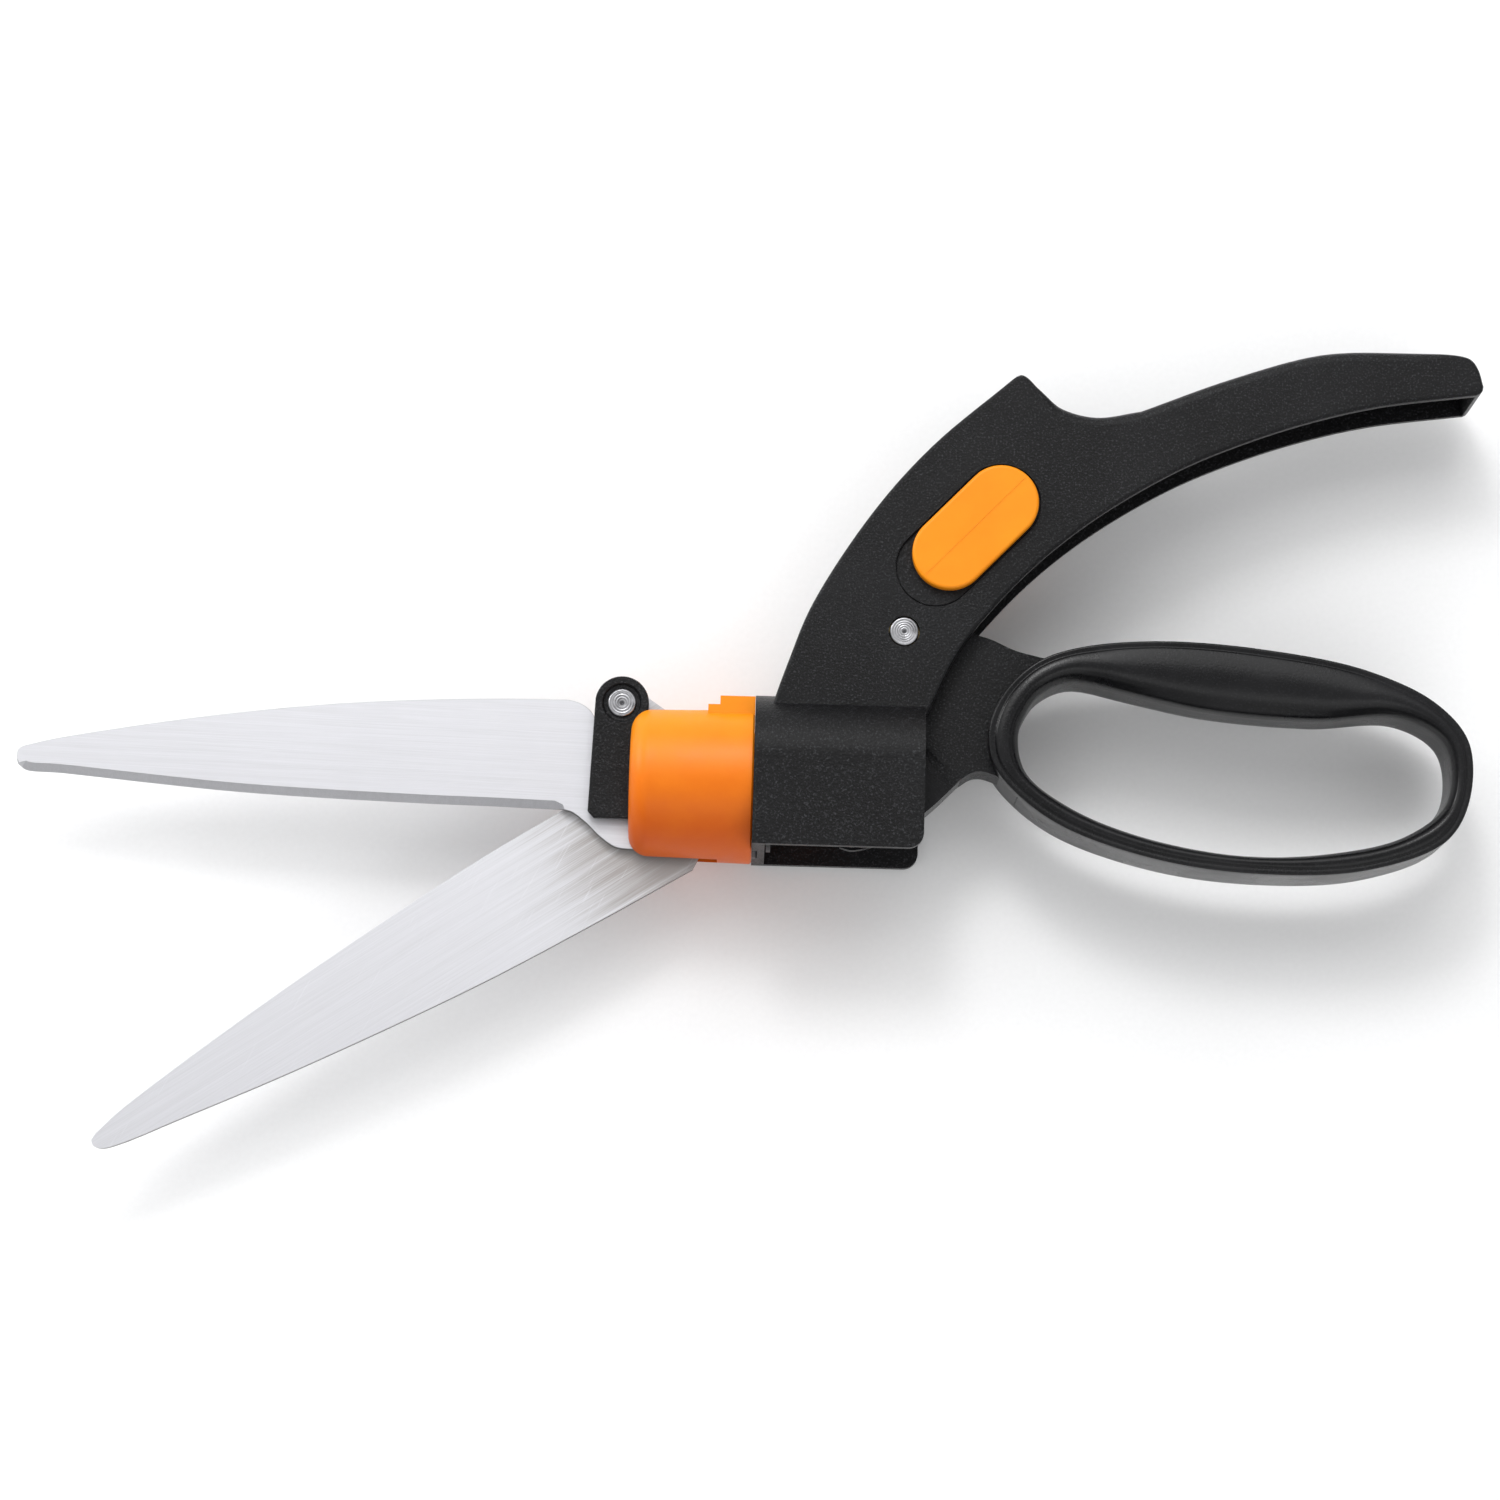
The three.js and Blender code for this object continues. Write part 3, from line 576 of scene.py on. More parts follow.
def turned_steel(name, centre):
    """Turned rivet head: rings from the tool about `centre`, with painted shade darkening the centre
    dimple.
    """
    m = Nodes(name, Metallic=0.9, IOR=1.5)
    offset = m.mapped((1, 1, 0), 0, [c * MM for c in centre])
    length = m.add("ShaderNodeVectorMath", operation="LENGTH")
    m.link(offset, length.inputs[0])
    radius = length.outputs["Value"]
    rings = m.math("SINE", m.math("MULTIPLY", radius, 2 * math.pi / RING_SPACING))
    uneven = m.noise(420, 2.0)
    height = m.math("ADD", m.math("MULTIPLY", rings, 0.35), m.math("MULTIPLY", uneven, 0.3))
    tone = m.math("ADD", m.math("MULTIPLY", rings, 0.16), m.ramp(uneven, 0.3, 0.7, 0.3, 0.7), True)
    # painted shade: the colour darkens towards the centre, in the dimple's recess
    dimple = m.ramp(radius, 0.00035, 0.00075)
    tone = m.math("MULTIPLY", tone, dimple, True)
    colour = m.colours(tone, (0.0, (0.07, 0.07, 0.075)), (0.35, (0.25, 0.25, 0.26)),
                       (0.9, (0.50, 0.50, 0.52)))
    rough = m.ramp(uneven, 0.3, 0.7, 0.24, 0.36)
    normal = m.bump(height, 0.5, 0.00005)
    return m.out(Base_Color=colour, Roughness=rough, Normal=normal)


def plain_metal(name, colour, rough):
    """Small hidden metal pieces: with wear, slightly uneven."""
    m = Nodes(name, Metallic=0.95, IOR=1.5)
    cloud = m.noise(320, 4.0, 0.6)
    shade = m.colours(cloud, (0.3, tuple(0.75 * c for c in colour)), (0.7, colour))
    gloss = m.ramp(cloud, 0.3, 0.7, rough - 0.07, rough + 0.1)
    return m.out(Base_Color=shade, Roughness=gloss, Normal=m.bump(m.noise(2600, 2.0), 0.2, 0.00005))


def acetal_white():
    """Natural acetal of the bearing pieces."""
    m = Nodes("acetal_white", IOR=1.48)
    cloud = m.noise(120, 3.0)
    colour = m.colours(cloud, (0.3, (0.66, 0.65, 0.60)), (0.7, (0.76, 0.75, 0.70)))
    return m.out(Base_Color=colour, Roughness=m.ramp(cloud, 0.3, 0.7, 0.38, 0.5))


def floor_paper():
    m = Nodes("floor_paper", Roughness=0.9)
    colour = m.colours(m.noise(900, 3.0), (0.2, (0.86, 0.86, 0.86)), (0.8, (0.89, 0.89, 0.89)))
    return m.out(Base_Color=colour)


def dress(obj, *materials):
    obj.data.materials.clear()
    for material in materials:
        obj.data.materials.append(material)
    return obj


def settle(obj, body, slot, *nodes):
    """The piece rides on its body and stands for its CAD nodes, which it hides; slot is not used."""
    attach(obj, body)
    if nodes:
        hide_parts(*nodes)
    return obj


# ---- upper handle -------------------------------------------------------------------------


def handle_outline():
    spine = curve((-17, 14), (-12.7, 27), (-7.5, 40.6), (5.7, 62.2), (18.8, 77.9), (36.8, 94.0))
    horn = curve((37.7, 94.7), (38.8, 95.1), (40.1, 94.6), (43, 91.8), (47.9, 88), (55.9, 86),
                 (66.3, 87.7))
    back = curve((66.3, 87.7), (86.9, 95.9), (107.3, 102.1), (124, 103.1), (138.8, 102.5),
                 (141.5, 101.6), (143.1, 99.4), (144.3, 95.4))
    palm = curve((141.6, 93.2), (120.7, 90.1), (104.9, 86), (89.5, 80.5), (75, 73.9), (58, 63.4),
                 (45.3, 53.2), (35.1, 42.7), (26.1, 30.9), (19.1, 16))
    return outline(spine, horn, back, line((144.1, 94.4), (143.5, 93.7), (142.7, 93.3)), palm)


def channel_outline():
    roof = curve((-13.2, 5), (-11.6, 25), (-5.6, 39.8), (7.2, 61.1), (20.1, 76.3), (36, 91))
    dip = curve((46.5, 85.8), (55.9, 83.6), (67, 85.2), (87.5, 93.6), (107.6, 100), (124, 101),
                (137.6, 100.4))
    end = line((140.9, 98.6), (141.9, 94.6), (145.5, 88), (120.7, 84), (75, 66), (45, 44),
               (25, 24), (21, 5))
    return outline(roof, dip, end)


def housing_section(wall, bottom):
    """(z, y) points of the inverted-U section, `wall` inside the outer skin."""
    half = HOUSING_HALF - wall
    rise = HOUSING_TOP - HOUSING_SPRING_LINE - wall
    arch = []
    for k in range(ARCH_STEPS + 1):
        a = math.pi * k / ARCH_STEPS
        arch.append(Vector((half * math.cos(a), HOUSING_SPRING_LINE + rise * math.sin(a))))
    return outline(line((-half, bottom), (half, bottom)), arch)


def housing_corner_trim():
    """The waste outside the rounded lower rear corner of the housing."""
    radius = HOUSING_CORNER_R
    x = HOUSING_REAR
    y = HOUSING_BOTTOM
    corner = arc((x - radius, y + radius), radius, 0, -90, 12)
    return outline(corner, line((x - radius, y - 1), (x + 1, y - 1), (x + 1, y + radius)))


def lock_point(centre, along):
    """The point `along` millimetres from centre in the slider's direction."""
    return Vector((centre[0] + along * math.cos(LOCK_ANGLE), centre[1] + along * math.sin(LOCK_ANGLE)))


def grip_plate(name, points):
    """The grip's plate: a small rounded edge all round, growing large along the grip's back."""
    n = len(points)
    start, end = GRIP_BACK
    weights = [1.0 if start < p.x < end and p.y > 79.8 + 0.1 * p.x else 0.0 for p in points]
    for _ in range(5):
        weights = [(weights[i - 1] + 2 * weights[i] + weights[(i + 1) % n]) / 4 for i in range(n)]
    radii = [GRIP_EDGE + (GRIP_BACK_EDGE - GRIP_EDGE) * w for w in weights]
    rounds = 6
    front = []
    for k in range(rounds + 1):
        a = math.pi / 2 * k / rounds
        ring = [inset_point(points, i, r * (1 - math.cos(a))) for i, r in enumerate(radii)]
        front.append([(q.x, q.y, HANDLE_HALF - r * (1 - math.sin(a))) for q, r in zip(ring, radii)])
    back = [[(x, y, -z) for x, y, z in ring] for ring in front[::-1]]
    return stack(name, back + front)


def hollow_handle(body):
    """Cuts the housing's inside, the lever's channel, the bearing and the rivet's hole."""
    inner = HANDLE_HALF - HANDLE_WALL
    section = housing_section(HOUSING_WALL, HOUSING_BOTTOM - 2)
    hollow = along_x("hollow", section, BEARING_END, HOUSING_REAR + 1)
    channel = plate("channel", channel_outline(), -inner, inner)
    lever_way = block("lever_way", (-9, HOUSING_REAR + 8), (0, 22), (-inner, inner))
    trim = plate("trim", housing_corner_trim(), -HOUSING_HALF - 1, HOUSING_HALF + 1)
    bore = turned_x("bore", [(HOUSING_FRONT - 1, 0), (HOUSING_FRONT - 1, BEARING_BORE_R),
                             (BEARING_END + 1, BEARING_BORE_R), (BEARING_END + 1, 0)])
    seat = turned_x("seat", [(HOUSING_FRONT - 1, 0), (HOUSING_FRONT - 1, RING_SEAT_R),
                             (HOUSING_FRONT + RING_SEAT_DEPTH, RING_SEAT_R),
                             (HOUSING_FRONT + RING_SEAT_DEPTH, 0)])
    rivet_hole = bar_z("rivet_hole", PIVOT, 3.5, -20, 20)
    cut(body, hollow, channel, lever_way, trim, bore, seat, rivet_hole)


def cut_lock_track(body):
    """The button's recess with a fine groove round it on both sides, and the pins' slots."""
    middle = lock_point(LOCK, -LOCK_TRAVEL / 2)
    length = LOCK_BUTTON_LENGTH + LOCK_TRAVEL
    track = stadium(middle, length + 1.2, LOCK_BUTTON_R + 0.6, LOCK_ANGLE)
    floor = HANDLE_HALF - LOCK_TRACK_DEPTH
    cut(
        body,
        plate("track_front", track, floor, HANDLE_HALF + 2),
        plate("track_back", track, -HANDLE_HALF - 2, -floor),
    )
    rim = stadium(middle, length + 0.4, LOCK_BUTTON_R + 0.2, LOCK_ANGLE)
    bottom = floor - LOCK_GROOVE_DEPTH
    for low, high in ((bottom, HANDLE_HALF + 1), (-HANDLE_HALF - 1, -bottom)):
        groove = plate("track_groove", track, low, high)
        cut(groove, plate("track_floor", rim, low - 1, high + 1))
        cut(body, groove)
    for side in (-0.5, 0.5):
        at = lock_point(middle, side * LOCK_PIN_SPACING)
        slot = stadium(at, LOCK_TRAVEL + 2 * LOCK_PIN_R + 0.8, LOCK_PIN_R + 0.3, LOCK_ANGLE)
        cut(body, plate("pin_slot", slot, -HANDLE_HALF - 1, HANDLE_HALF + 1))


def handle_body(material):
    body = grip_plate("handle_moulding", handle_outline())
    join(body, along_x("housing", housing_section(0, HOUSING_BOTTOM), HOUSING_FRONT, HOUSING_REAR))
    hollow_handle(body)
    cut_lock_track(body)
    for x, low, high in GRIP_RIBS:
        join(body, block("rib", (x - RIB_HALF, x + RIB_HALF), (low, high), (-10, 10)))
    soften(dress(body, material), 0.35, 35)
    return settle(body, "upper_handle", "matt_black", "handle_body")


def rivet_end(radius, dimple, rings):
    """Profile of a turned rivet end from its rim to its centre: (radius, depth below the face)."""
    points = [(radius, 0.35), (radius - 0.12, 0.12), (radius - 0.35, 0.0)]
    count = 4 * rings
    for k in range(1, count):
        r = (radius - 0.35) * (1 - k / count)
        points.append((r, 0.03 + 0.03 * math.cos(2 * math.pi * k / 4)))
    return points + [(0.35, 0.05), (0.2, dimple), (0.0, dimple)]


def turned_rivet(name, centre, low, high, shank, head, head_thick, dimple, rings):
    """A rivet with turned ends, head radius `head` and thickness `head_thick` at both ends."""
    end = rivet_end(head, dimple, rings)
    top = [(r, high - d) for r, d in end]
    bottom = [(r, low + d) for r, d in end][::-1]
    middle = []
    if head_thick:
        middle = [(head, low + head_thick), (shank, low + head_thick),
                  (shank, high - head_thick), (head, high - head_thick)]
    return turned_z(name, centre, bottom + middle + top, 96)


# ---- lock slider --------------------------------------------------------------------------


def lock_button(name, side, material):
    """The slider's button, with a fine moulding line along its middle. side is 1 or -1."""
    base = HANDLE_HALF - 0.5
    top = base + LOCK_BUTTON_THICK
    shape = stadium(LOCK, LOCK_BUTTON_LENGTH, LOCK_BUTTON_R, LOCK_ANGLE, 32)
    body = plate(name, shape, base, top, 0.75, 6, edge_low=0.15)
    groove = stadium(LOCK, LOCK_BUTTON_LENGTH - 1.6, 0.14, LOCK_ANGLE, 6)
    cut(body, plate("mould_line", groove, top - 0.08, top + 1))
    soften(dress(body, material), 0.0, 30)
    if side < 0:
        body.data.transform(Matrix.Translation((0, 0, 2 * MID * MM)) @ Matrix.Diagonal((1, 1, -1, 1)))
        body.data.flip_normals()
    node = "lock_button_front" if side > 0 else "lock_button_back"
    return settle(body, "lock", "orange", node)


# ---- lower handle -------------------------------------------------------------------------

LOOP_OUTER = [
    (33, 12.5), (34.8, 19), (38.7, 24.8), (45, 29.8), (54.5, 32.9), (72, 34.6), (94.4, 33.4),
    (118.3, 29.2), (134.2, 22), (141.6, 13.2), (141.6, -0.5), (136.3, -9.6), (118.6, -16.5),
    (94.5, -18), (71.6, -15.4), (49.9, -8.4), (38.9, -0.6), (33.9, 6),
]
LOOP_HOLE = [
    (39.9, 12), (41.6, 17.5), (44.6, 21.8), (51.9, 25.2), (64, 22.9), (82.5, 19.3), (107.2, 17.8),
    (126.3, 18.9), (136.4, 13), (137, 0), (127.9, -8), (111, -12.5), (90, -13.6), (66.9, -9.6),
    (51.2, -3.4), (41.9, 3.8),
]
LOOP_CENTRE = Vector((90, 6))


def by_angle(points, half_size, count):
    """`count` points of a closed curve at equal turns about the loop's centre."""
    dense = closed_curve(points, 1440)

    def turn(p):
        q = p - LOOP_CENTRE
        return math.atan2(q.y / half_size[1], q.x / half_size[0]) % (2 * math.pi)

    ordered = sorted(dense, key=turn)
    angles = [turn(p) for p in ordered]
    out = []
    k = 0
    for i in range(count):
        a = 2 * math.pi * i / count
        while k < len(angles) - 1 and angles[k] < a:
            k += 1
        out.append(ordered[k])
    return out


def smooth_ring(points, rounds):
    """Evens out a closed ring of points."""
    for _ in range(rounds):
        n = len(points)
        points = [(points[i - 1] + points[i] * 2 + points[(i + 1) % n]) / 4 for i in range(n)]
    return points


def loop_profile(width):
    """Half of the loop's section: (distance in from the outer rim, height above mid-plane)."""
    rim = min(1.5, 0.34 * width)
    swell = width - rim - 0.5
    crown = min(1.0, 0.12 * swell)
    ridge = rim + 0.5
    knots = [
        (0.0, 0.0), (0.0, 4.5), (0.0, 9.3), (0.12, 9.75), (0.4, 9.9), (0.55 * rim, 9.9), (rim, 9.85),
        (rim + 0.2, 10.0), (ridge, 10.25), (ridge + 0.25 * swell, 10.15 + 0.75 * crown),
        (ridge + 0.5 * swell, 9.9 + crown), (ridge + 0.72 * swell, 9.3 + 0.7 * crown),
        (width - 0.13 * swell, 8.5), (width - 0.03 * swell, 7.2), (width, 5.0), (width, 2.5), (width, 0.0),
    ]
    return curve(*knots, steps=4)


def finger_loop(material):
    count = 260
    outer = smooth_ring(by_angle(LOOP_OUTER, (55, 28), count), 2)
    hole = smooth_ring(by_angle(LOOP_HOLE, (48, 17), count), 2)
    sections = []
    for a, b in zip(outer, hole):
        inward = b - a
        half = loop_profile(inward.length)
        inward.normalize()
        front = [(a + inward * p.x, p.y) for p in half]
        back = [(a + inward * p.x, -p.y) for p in half[1:-1]][::-1]
        sections.append([(q.x, q.y, z) for q, z in front + back])
    return dress(stack("lower_handle_moulding", sections, closed=False), material)


def lever_outline():
    foot = curve((0.3, -13), (3.2, -13.6), (11, -11.2), (19.3, -5.5), (27.3, 2.3))
    return outline(line((4.2, 33), (1.1, 3)), foot, line((31, 8), (23, 36)))


def web_outline(step=0.0):
    """The web's outline, its lower left side moved out by `step`."""
    crest = curve((22.4, 38.4), (26, 36.4), (33, 34.6), (38.8, 32.1), (45.8, 30.4))
    inside_loop = line((46.2, 28.4), (41.3, 23), (37.8, 17.6), (36.3, 12.2), (37, 6.6),
                       (38.8, 2.4), (42, -2))
    under = curve((40, -1.7), (38.4, 0.6), (36.6, 2.3), (34.3, 3.5), (31.6, 4.1), (29.5, 3.7), (27, 2))
    out = Vector((-0.74, -0.67)) * step
    diagonal = [Vector((26.7, 1.8)) + out, Vector((18.9, 9.7)) + out]
    return outline(crest, inside_loop, under, diagonal, line((10, 27), (13.4, 34.8)))


def web(material):
    """The web's plate, with a chamfer down to the lever along its lower left side."""
    low = [(p.x, p.y) for p in web_outline(WEB_STEP)]
    high = [(p.x, p.y) for p in web_outline()]
    half = LEVER_HALF - 0.4
    layers = [(high, -WEB_HALF), (low, -half), (low, half), (high, WEB_HALF)]
    return dress(stack("web", [[(x, y, z) for x, y in ring] for ring, z in layers]), material)


def lower_handle(satin, textured):
    pivot = Vector((PIVOT.x, PIVOT.y))
    fork = pivot + FORK_REACH * Vector((math.cos(FORK_TURN), math.sin(FORK_TURN)))
    body = finger_loop(satin)
    lever = dress(plate("lever", lever_outline(), -LEVER_HALF, LEVER_HALF), satin)
    hub = dress(bar_z("hub", PIVOT, HUB_R, -HUB_HALF, HUB_HALF, 80), satin)
    along = Vector((math.cos(TOOTH_TURN), math.sin(TOOTH_TURN)))
    side = Vector((-along.y, along.x))
    root = pivot + along * (HUB_R - 1)
    tip = pivot + along * TOOTH_REACH
    tooth_shape = outline([root - side * 2, tip - side * 1.2, tip + side * 1.2, root + side * 2])
    tooth = dress(plate("tooth", tooth_shape, -WEB_HALF, WEB_HALF), satin)
    join(body, web(textured), lever, hub, tooth)
    window_shape = outline(
        line((7.2, 6.6), (5.2, -2.6), (4.9, -7), (9, -7.9)),
        curve((12.4, -5.2), (14, 0), (13.5, 6.6)),
    )
    cut(body, plate("window", window_shape, -LEVER_HALF - 1, LEVER_HALF + 1))
    join(body, dress(bar_z("pad", fork, FORK_PAD_R, -LEVER_HALF, LEVER_HALF), satin))
    cut(
        body,
        block("rod_slot", (-2, 9), (-16, 9), (-2.4, 2.4)),
        bar_z("bush_hole", PIVOT, PIVOT_BUSH_HOLE_R, -10, 10),
    )
    soften(body, 0.3, 38)
    return settle(body, "trigger", "satin_black", "lower_handle")


# ---- swivel collar ------------------------------------------------------------------------


def swivel_collar(material):
    front = COLLAR_FRONT
    rear = HOUSING_FRONT - 0.06
    nose = [(front, 0), (front, COLLAR_R - 4.8)]
    steps = 12
    for k in range(1, steps + 1):
        a = math.pi / 2 * k / steps
        nose.append((front + 4.6 * (1 - math.cos(a)), COLLAR_R - 4.8 + 4.7 * math.sin(a)))
    groove = (BEARING_END + 0.1, BEARING_END + 1.5)
    floor = JOURNAL_R - 0.8
    tail = [(rear - 0.4, COLLAR_R + 0.3), (rear, COLLAR_R - 0.1), (rear, JOURNAL_R),
            (groove[0], JOURNAL_R), (groove[0], floor), (groove[1], floor), (groove[1], JOURNAL_R),
            (JOURNAL_END, JOURNAL_R - 0.5), (JOURNAL_END, 0)]
    body = turned_x("collar_moulding", nose + tail, 144)
    join(
        body,
        block("index_block", (-27.7, rear), (12, INDEX_TOP), (-INDEX_HALF, INDEX_HALF)),
        block("index_tab", (-30.4, -27), (12, INDEX_TAB_TOP), (-INDEX_HALF, INDEX_HALF)),
    )
    tube = [(-24.7, 0), (-24.7, TUBE_R), (-2.1, TUBE_R), (-2.1, 5.5), (-0.2, 5.5), (-0.2, 0)]
    cut(
        body,
        block("channel", (front - 1, -23.7), (-9.6, 30), (-CHANNEL_HALF, CHANNEL_HALF)),
        block("blade_slot", (front - 1, -27.5), (-20, 0), (-2.7, 2.7)),
        block("tang_slot", (-28, -22.6), (-15.6, 0), (-0.15, 2.65)),
        turned_x("tube", tube),
        bar_z("rivet_well", BLADE_PIVOT, 5.2, -4, 4),
        bar_z("pin_hole", TANG_PIN, TANG_HOLE_R, -20, 5.2, 32),
    )
    soften(dress(body, material), 0.45, 35, 4)
    return settle(body, "head", "orange", "swivel_collar")


# ---- yoke ---------------------------------------------------------------------------------


def yoke(material):
    ear = arc((DRIVE.x, DRIVE.y), EAR_R, 0, 172, 24)
    back = curve((-42.2, 4.9), (-43.5, 8), (-43.9, 12), (-43.9, 17.6))
    foot = line((-57, -7.4), (-55.6, -8.9), (-46.5, -8.9), (-42, -4.6),
                (YOKE_REAR, -4.6), (YOKE_REAR, 4.6), (-41.9, 4.6))
    body = plate("yoke_moulding", outline(foot, back, ear), -YOKE_OUT, YOKE_OUT)
    cut(
        body,
        block("blade_gap", (-60, -33.2), (-12, 30), (-YOKE_IN, YOKE_IN)),
        turned_x("rod_hole", [(-35, 0), (-35, 2), (-28, 2), (-28, 0)], 48),
        bar_z("rivet_hole", DRIVE, 2.2, -8, 8, 48),
        bar_z("front_bore", DRIVE, 4.3, 5, 8),
        bar_z("back_bore", DRIVE, 4.3, -8, -5),
    )
    soften(dress(body, material), 0.45, 35, 4)
    return settle(body, "drive", "matt_black", "yoke")


# ---- blades -------------------------------------------------------------------------------


def ground_blade(name, edge, rest, inner, outer, materials):
    """A blade whose `edge` run is ground to a bevel on its outer face.

    The outline is edge + rest. inner and outer are the heights of its flat faces. The bevel
    rises from near the inner face at the edge to the outer face.
    """
    points = edge + rest
    n = len(points)
    fade = 6
    weights = []
    for i in range(n):
        from_ends = min(3 * i + 2, len(edge) - 1 - i) if i < len(edge) else -1
        weights.append(max(0.0, min(1.0, (from_ends + 1) / fade)))
    area = sum(a.x * b.y - b.x * a.y for a, b in zip(points, points[1:] + points[:1]))
    if area < 0:
        points = points[::-1]
        weights = weights[::-1]
    thick = outer - inner
    side = 1 if thick > 0 else -1
    ring_edge = [side * ((abs(thick) - BLADE_BREAK) * (1 - w) + BLADE_LAND * w) for w in weights]
    depth = [BLADE_BREAK * (1 - w) + BLADE_BEVEL * w for w in weights]
    top = [inset_point(points, i, d) for i, d in enumerate(depth)]
    layers = [
        [(p.x, p.y, inner) for p in inset(points, BLADE_BURR)],
        [(p.x, p.y, inner + side * BLADE_BURR) for p in points],
        [(p.x, p.y, inner + z) for p, z in zip(points, ring_edge)],
        [(p.x, p.y, outer) for p in top],
    ]
    obj = dress(stack(name, layers), *materials)
    mark_bevel(obj, side)
    return obj


def mark_bevel(obj, side):
    """Gives the sloping ground faces the second material and the sheared walls the third."""
    for face in obj.data.polygons:
        up = face.normal.z * side
        if 0.3 < up < 0.97:
            face.material_index = 1
        elif abs(up) <= 0.3:
            face.material_index = 2


def fixed_blade(materials):
    edge = curve((-62.9, -6.6), (-80, -6.2), (-95, -6), (-136, -4.6), (-177, -1.4),
                 (-185, -0.9), (-186.6, 0.2), steps=10)
    rest = joined(
        curve((-187, 1.4), (-186.6, 3.6), (-182, 5.3), (-164, 9), (-136.9, 13.4), (-109.7, 16.5),
              (-82.5, 18.1), (-66, 18.4), (-61, 18.2), (-57.3, 16.2), (-55, 12)),
        line((-52.6, 1)),
        curve((-48, -1.2), (-41.9, -2.4), (-36.6, -4.8)),
        line((-31, -7.4), (-22.9, -7.8), (-22.9, -15.3)),
        curve((-46.7, -15.4), (-50.5, -15), (-54, -12.8), (-57.4, -9.6), (-60.6, -7.3), (-62.3, -6.8)),
    )
    obj = ground_blade("fixed_blade_ground", edge, rest, BLADE_IN, BLADE_OUT, materials)
    cut(
        obj,
        bar_z("rivet_hole", BLADE_PIVOT, BLADE_HOLE_R, -1, 4, 48),
        bar_z("pin_hole", TANG_PIN, TANG_HOLE_R, -1, 4, 32),
    )
    soften(obj, 0.0, 14)
    return settle(obj, "head", "blade_steel", "fixed_blade")


def moving_blade(materials):
    edge = curve((-63, -6.7), (-81.2, -18.4), (-107.7, -37), (-134, -56.6), (-160, -77.6),
                 (-165.2, -82.8), steps=12)
    rest = joined(
        curve((-166.1, -84.3), (-165.6, -85.6), (-163.8, -86.2), (-160, -85.2), (-146.6, -79.2),
              (-120.1, -67), (-80.2, -46.8), (-53.6, -31.6), (-33, -19.3)),
        curve((-31.4, -16), (-30.8, -12), (-33.6, -7.4)),
        line((-35.2, -5), (-36.2, 6), (-40, 17), (-45.8, 20.9)),
        curve((-48.6, 22.8), (-51.6, 23.9), (-54.6, 23), (-56.1, 20.4)),
        line((-54.8, 6), (-57.6, -2.6)),
    )
    obj = ground_blade("moving_blade_ground", edge, rest, -BLADE_IN, -BLADE_OUT, materials)
    centre = Vector((BLADE_PIVOT.x, BLADE_PIVOT.y))
    towards = (Vector((DRIVE.x, DRIVE.y)) - centre).normalized()
    turn = math.atan2(towards.y, towards.x)
    slot = stadium(centre + towards * DRIVE_SLOT_REACH, DRIVE_SLOT_LENGTH, DRIVE_SLOT_R, turn)
    cut(
        obj,
        plate("drive_slot", slot, -4, 1),
        bar_z("rivet_hole", BLADE_PIVOT, BLADE_HOLE_R, -4, 1, 48),
    )
    soften(obj, 0.0, 14)
    return settle(obj, "cutter", "blade_steel", "moving_blade")


def return_spring(material):
    """A coil with closed ends round the rod."""
    low, high = (Vector(p).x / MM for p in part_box("return_spring"))
    start = low + SPRING_WIRE_R
    open_length = high - SPRING_WIRE_R - start - 2 * SPRING_PITCH_CLOSED
    vertices = []
    faces = []
    count = round(SPRING_TURNS * SPRING_STEPS)
    for i in range(count + 1):
        turn = i / SPRING_STEPS
        closed = min(turn, 1.0) + max(turn - (SPRING_TURNS - 1), 0.0)
        spread = (turn - closed) / (SPRING_TURNS - 2)
        x = start + closed * SPRING_PITCH_CLOSED + spread * open_length
        angle = 2 * math.pi * turn
        for j in range(SPRING_SIDES):
            side = 2 * math.pi * j / SPRING_SIDES
            radius = SPRING_R + SPRING_WIRE_R * math.cos(side)
            across = SPRING_WIRE_R * math.sin(side)
            vertices.append((x + across, radius * math.cos(angle), radius * math.sin(angle)))
    for i in range(count):
        for j in range(SPRING_SIDES):
            a = i * SPRING_SIDES + j
            b = i * SPRING_SIDES + (j + 1) % SPRING_SIDES
            faces.append((a, b, b + SPRING_SIDES, a + SPRING_SIDES))
    faces.append(tuple(range(SPRING_SIDES)))
    faces.append(tuple(range(len(vertices) - 1, len(vertices) - 1 - SPRING_SIDES, -1)))
    obj = dress(mesh_object("coil_spring", vertices, faces), material)
    soften(obj, 0.0, 40)
    settle(obj, "drive", "spring_steel", "return_spring")
    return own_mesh(obj)


# ---- assembly -----------------------------------------------------------------------------

black = textured_black()
satin = satin_black()
orange = orange_plastic()
spring_steel = plain_metal("spring_steel", (0.30, 0.31, 0.33), 0.32)
black_steel = plain_metal("blackened_steel", (0.035, 0.035, 0.038), 0.35)
bright_steel = plain_metal("bright_steel", (0.62, 0.62, 0.64), 0.25)
brass = plain_metal("bearing_brass", (0.62, 0.47, 0.20), 0.3)
white = acetal_white()

FIXED_TURN = math.radians(-1.5)
MOVING_TURN = math.radians(33.5)
sheared = plain_metal("sheared_edge", (0.20, 0.195, 0.19), 0.4)
fixed_steel = [
    brushed_steel("fixed_blade_steel", FIXED_TURN, scars=0.03),
    brushed_steel("fixed_blade_bevel", FIXED_TURN, across=True, bright=0.50),
    sheared,
]
moving_steel = [
    # the moving blade gets painted shade round the blade pivot, for the collar's shadow
    brushed_steel("moving_blade_steel", MOVING_TURN, bright=0.68, painted_shade=(BLADE_PIVOT, 12, 46), scars=0.09),
    brushed_steel("moving_blade_bevel", MOVING_TURN, across=True, bright=0.54),
    sheared,
]

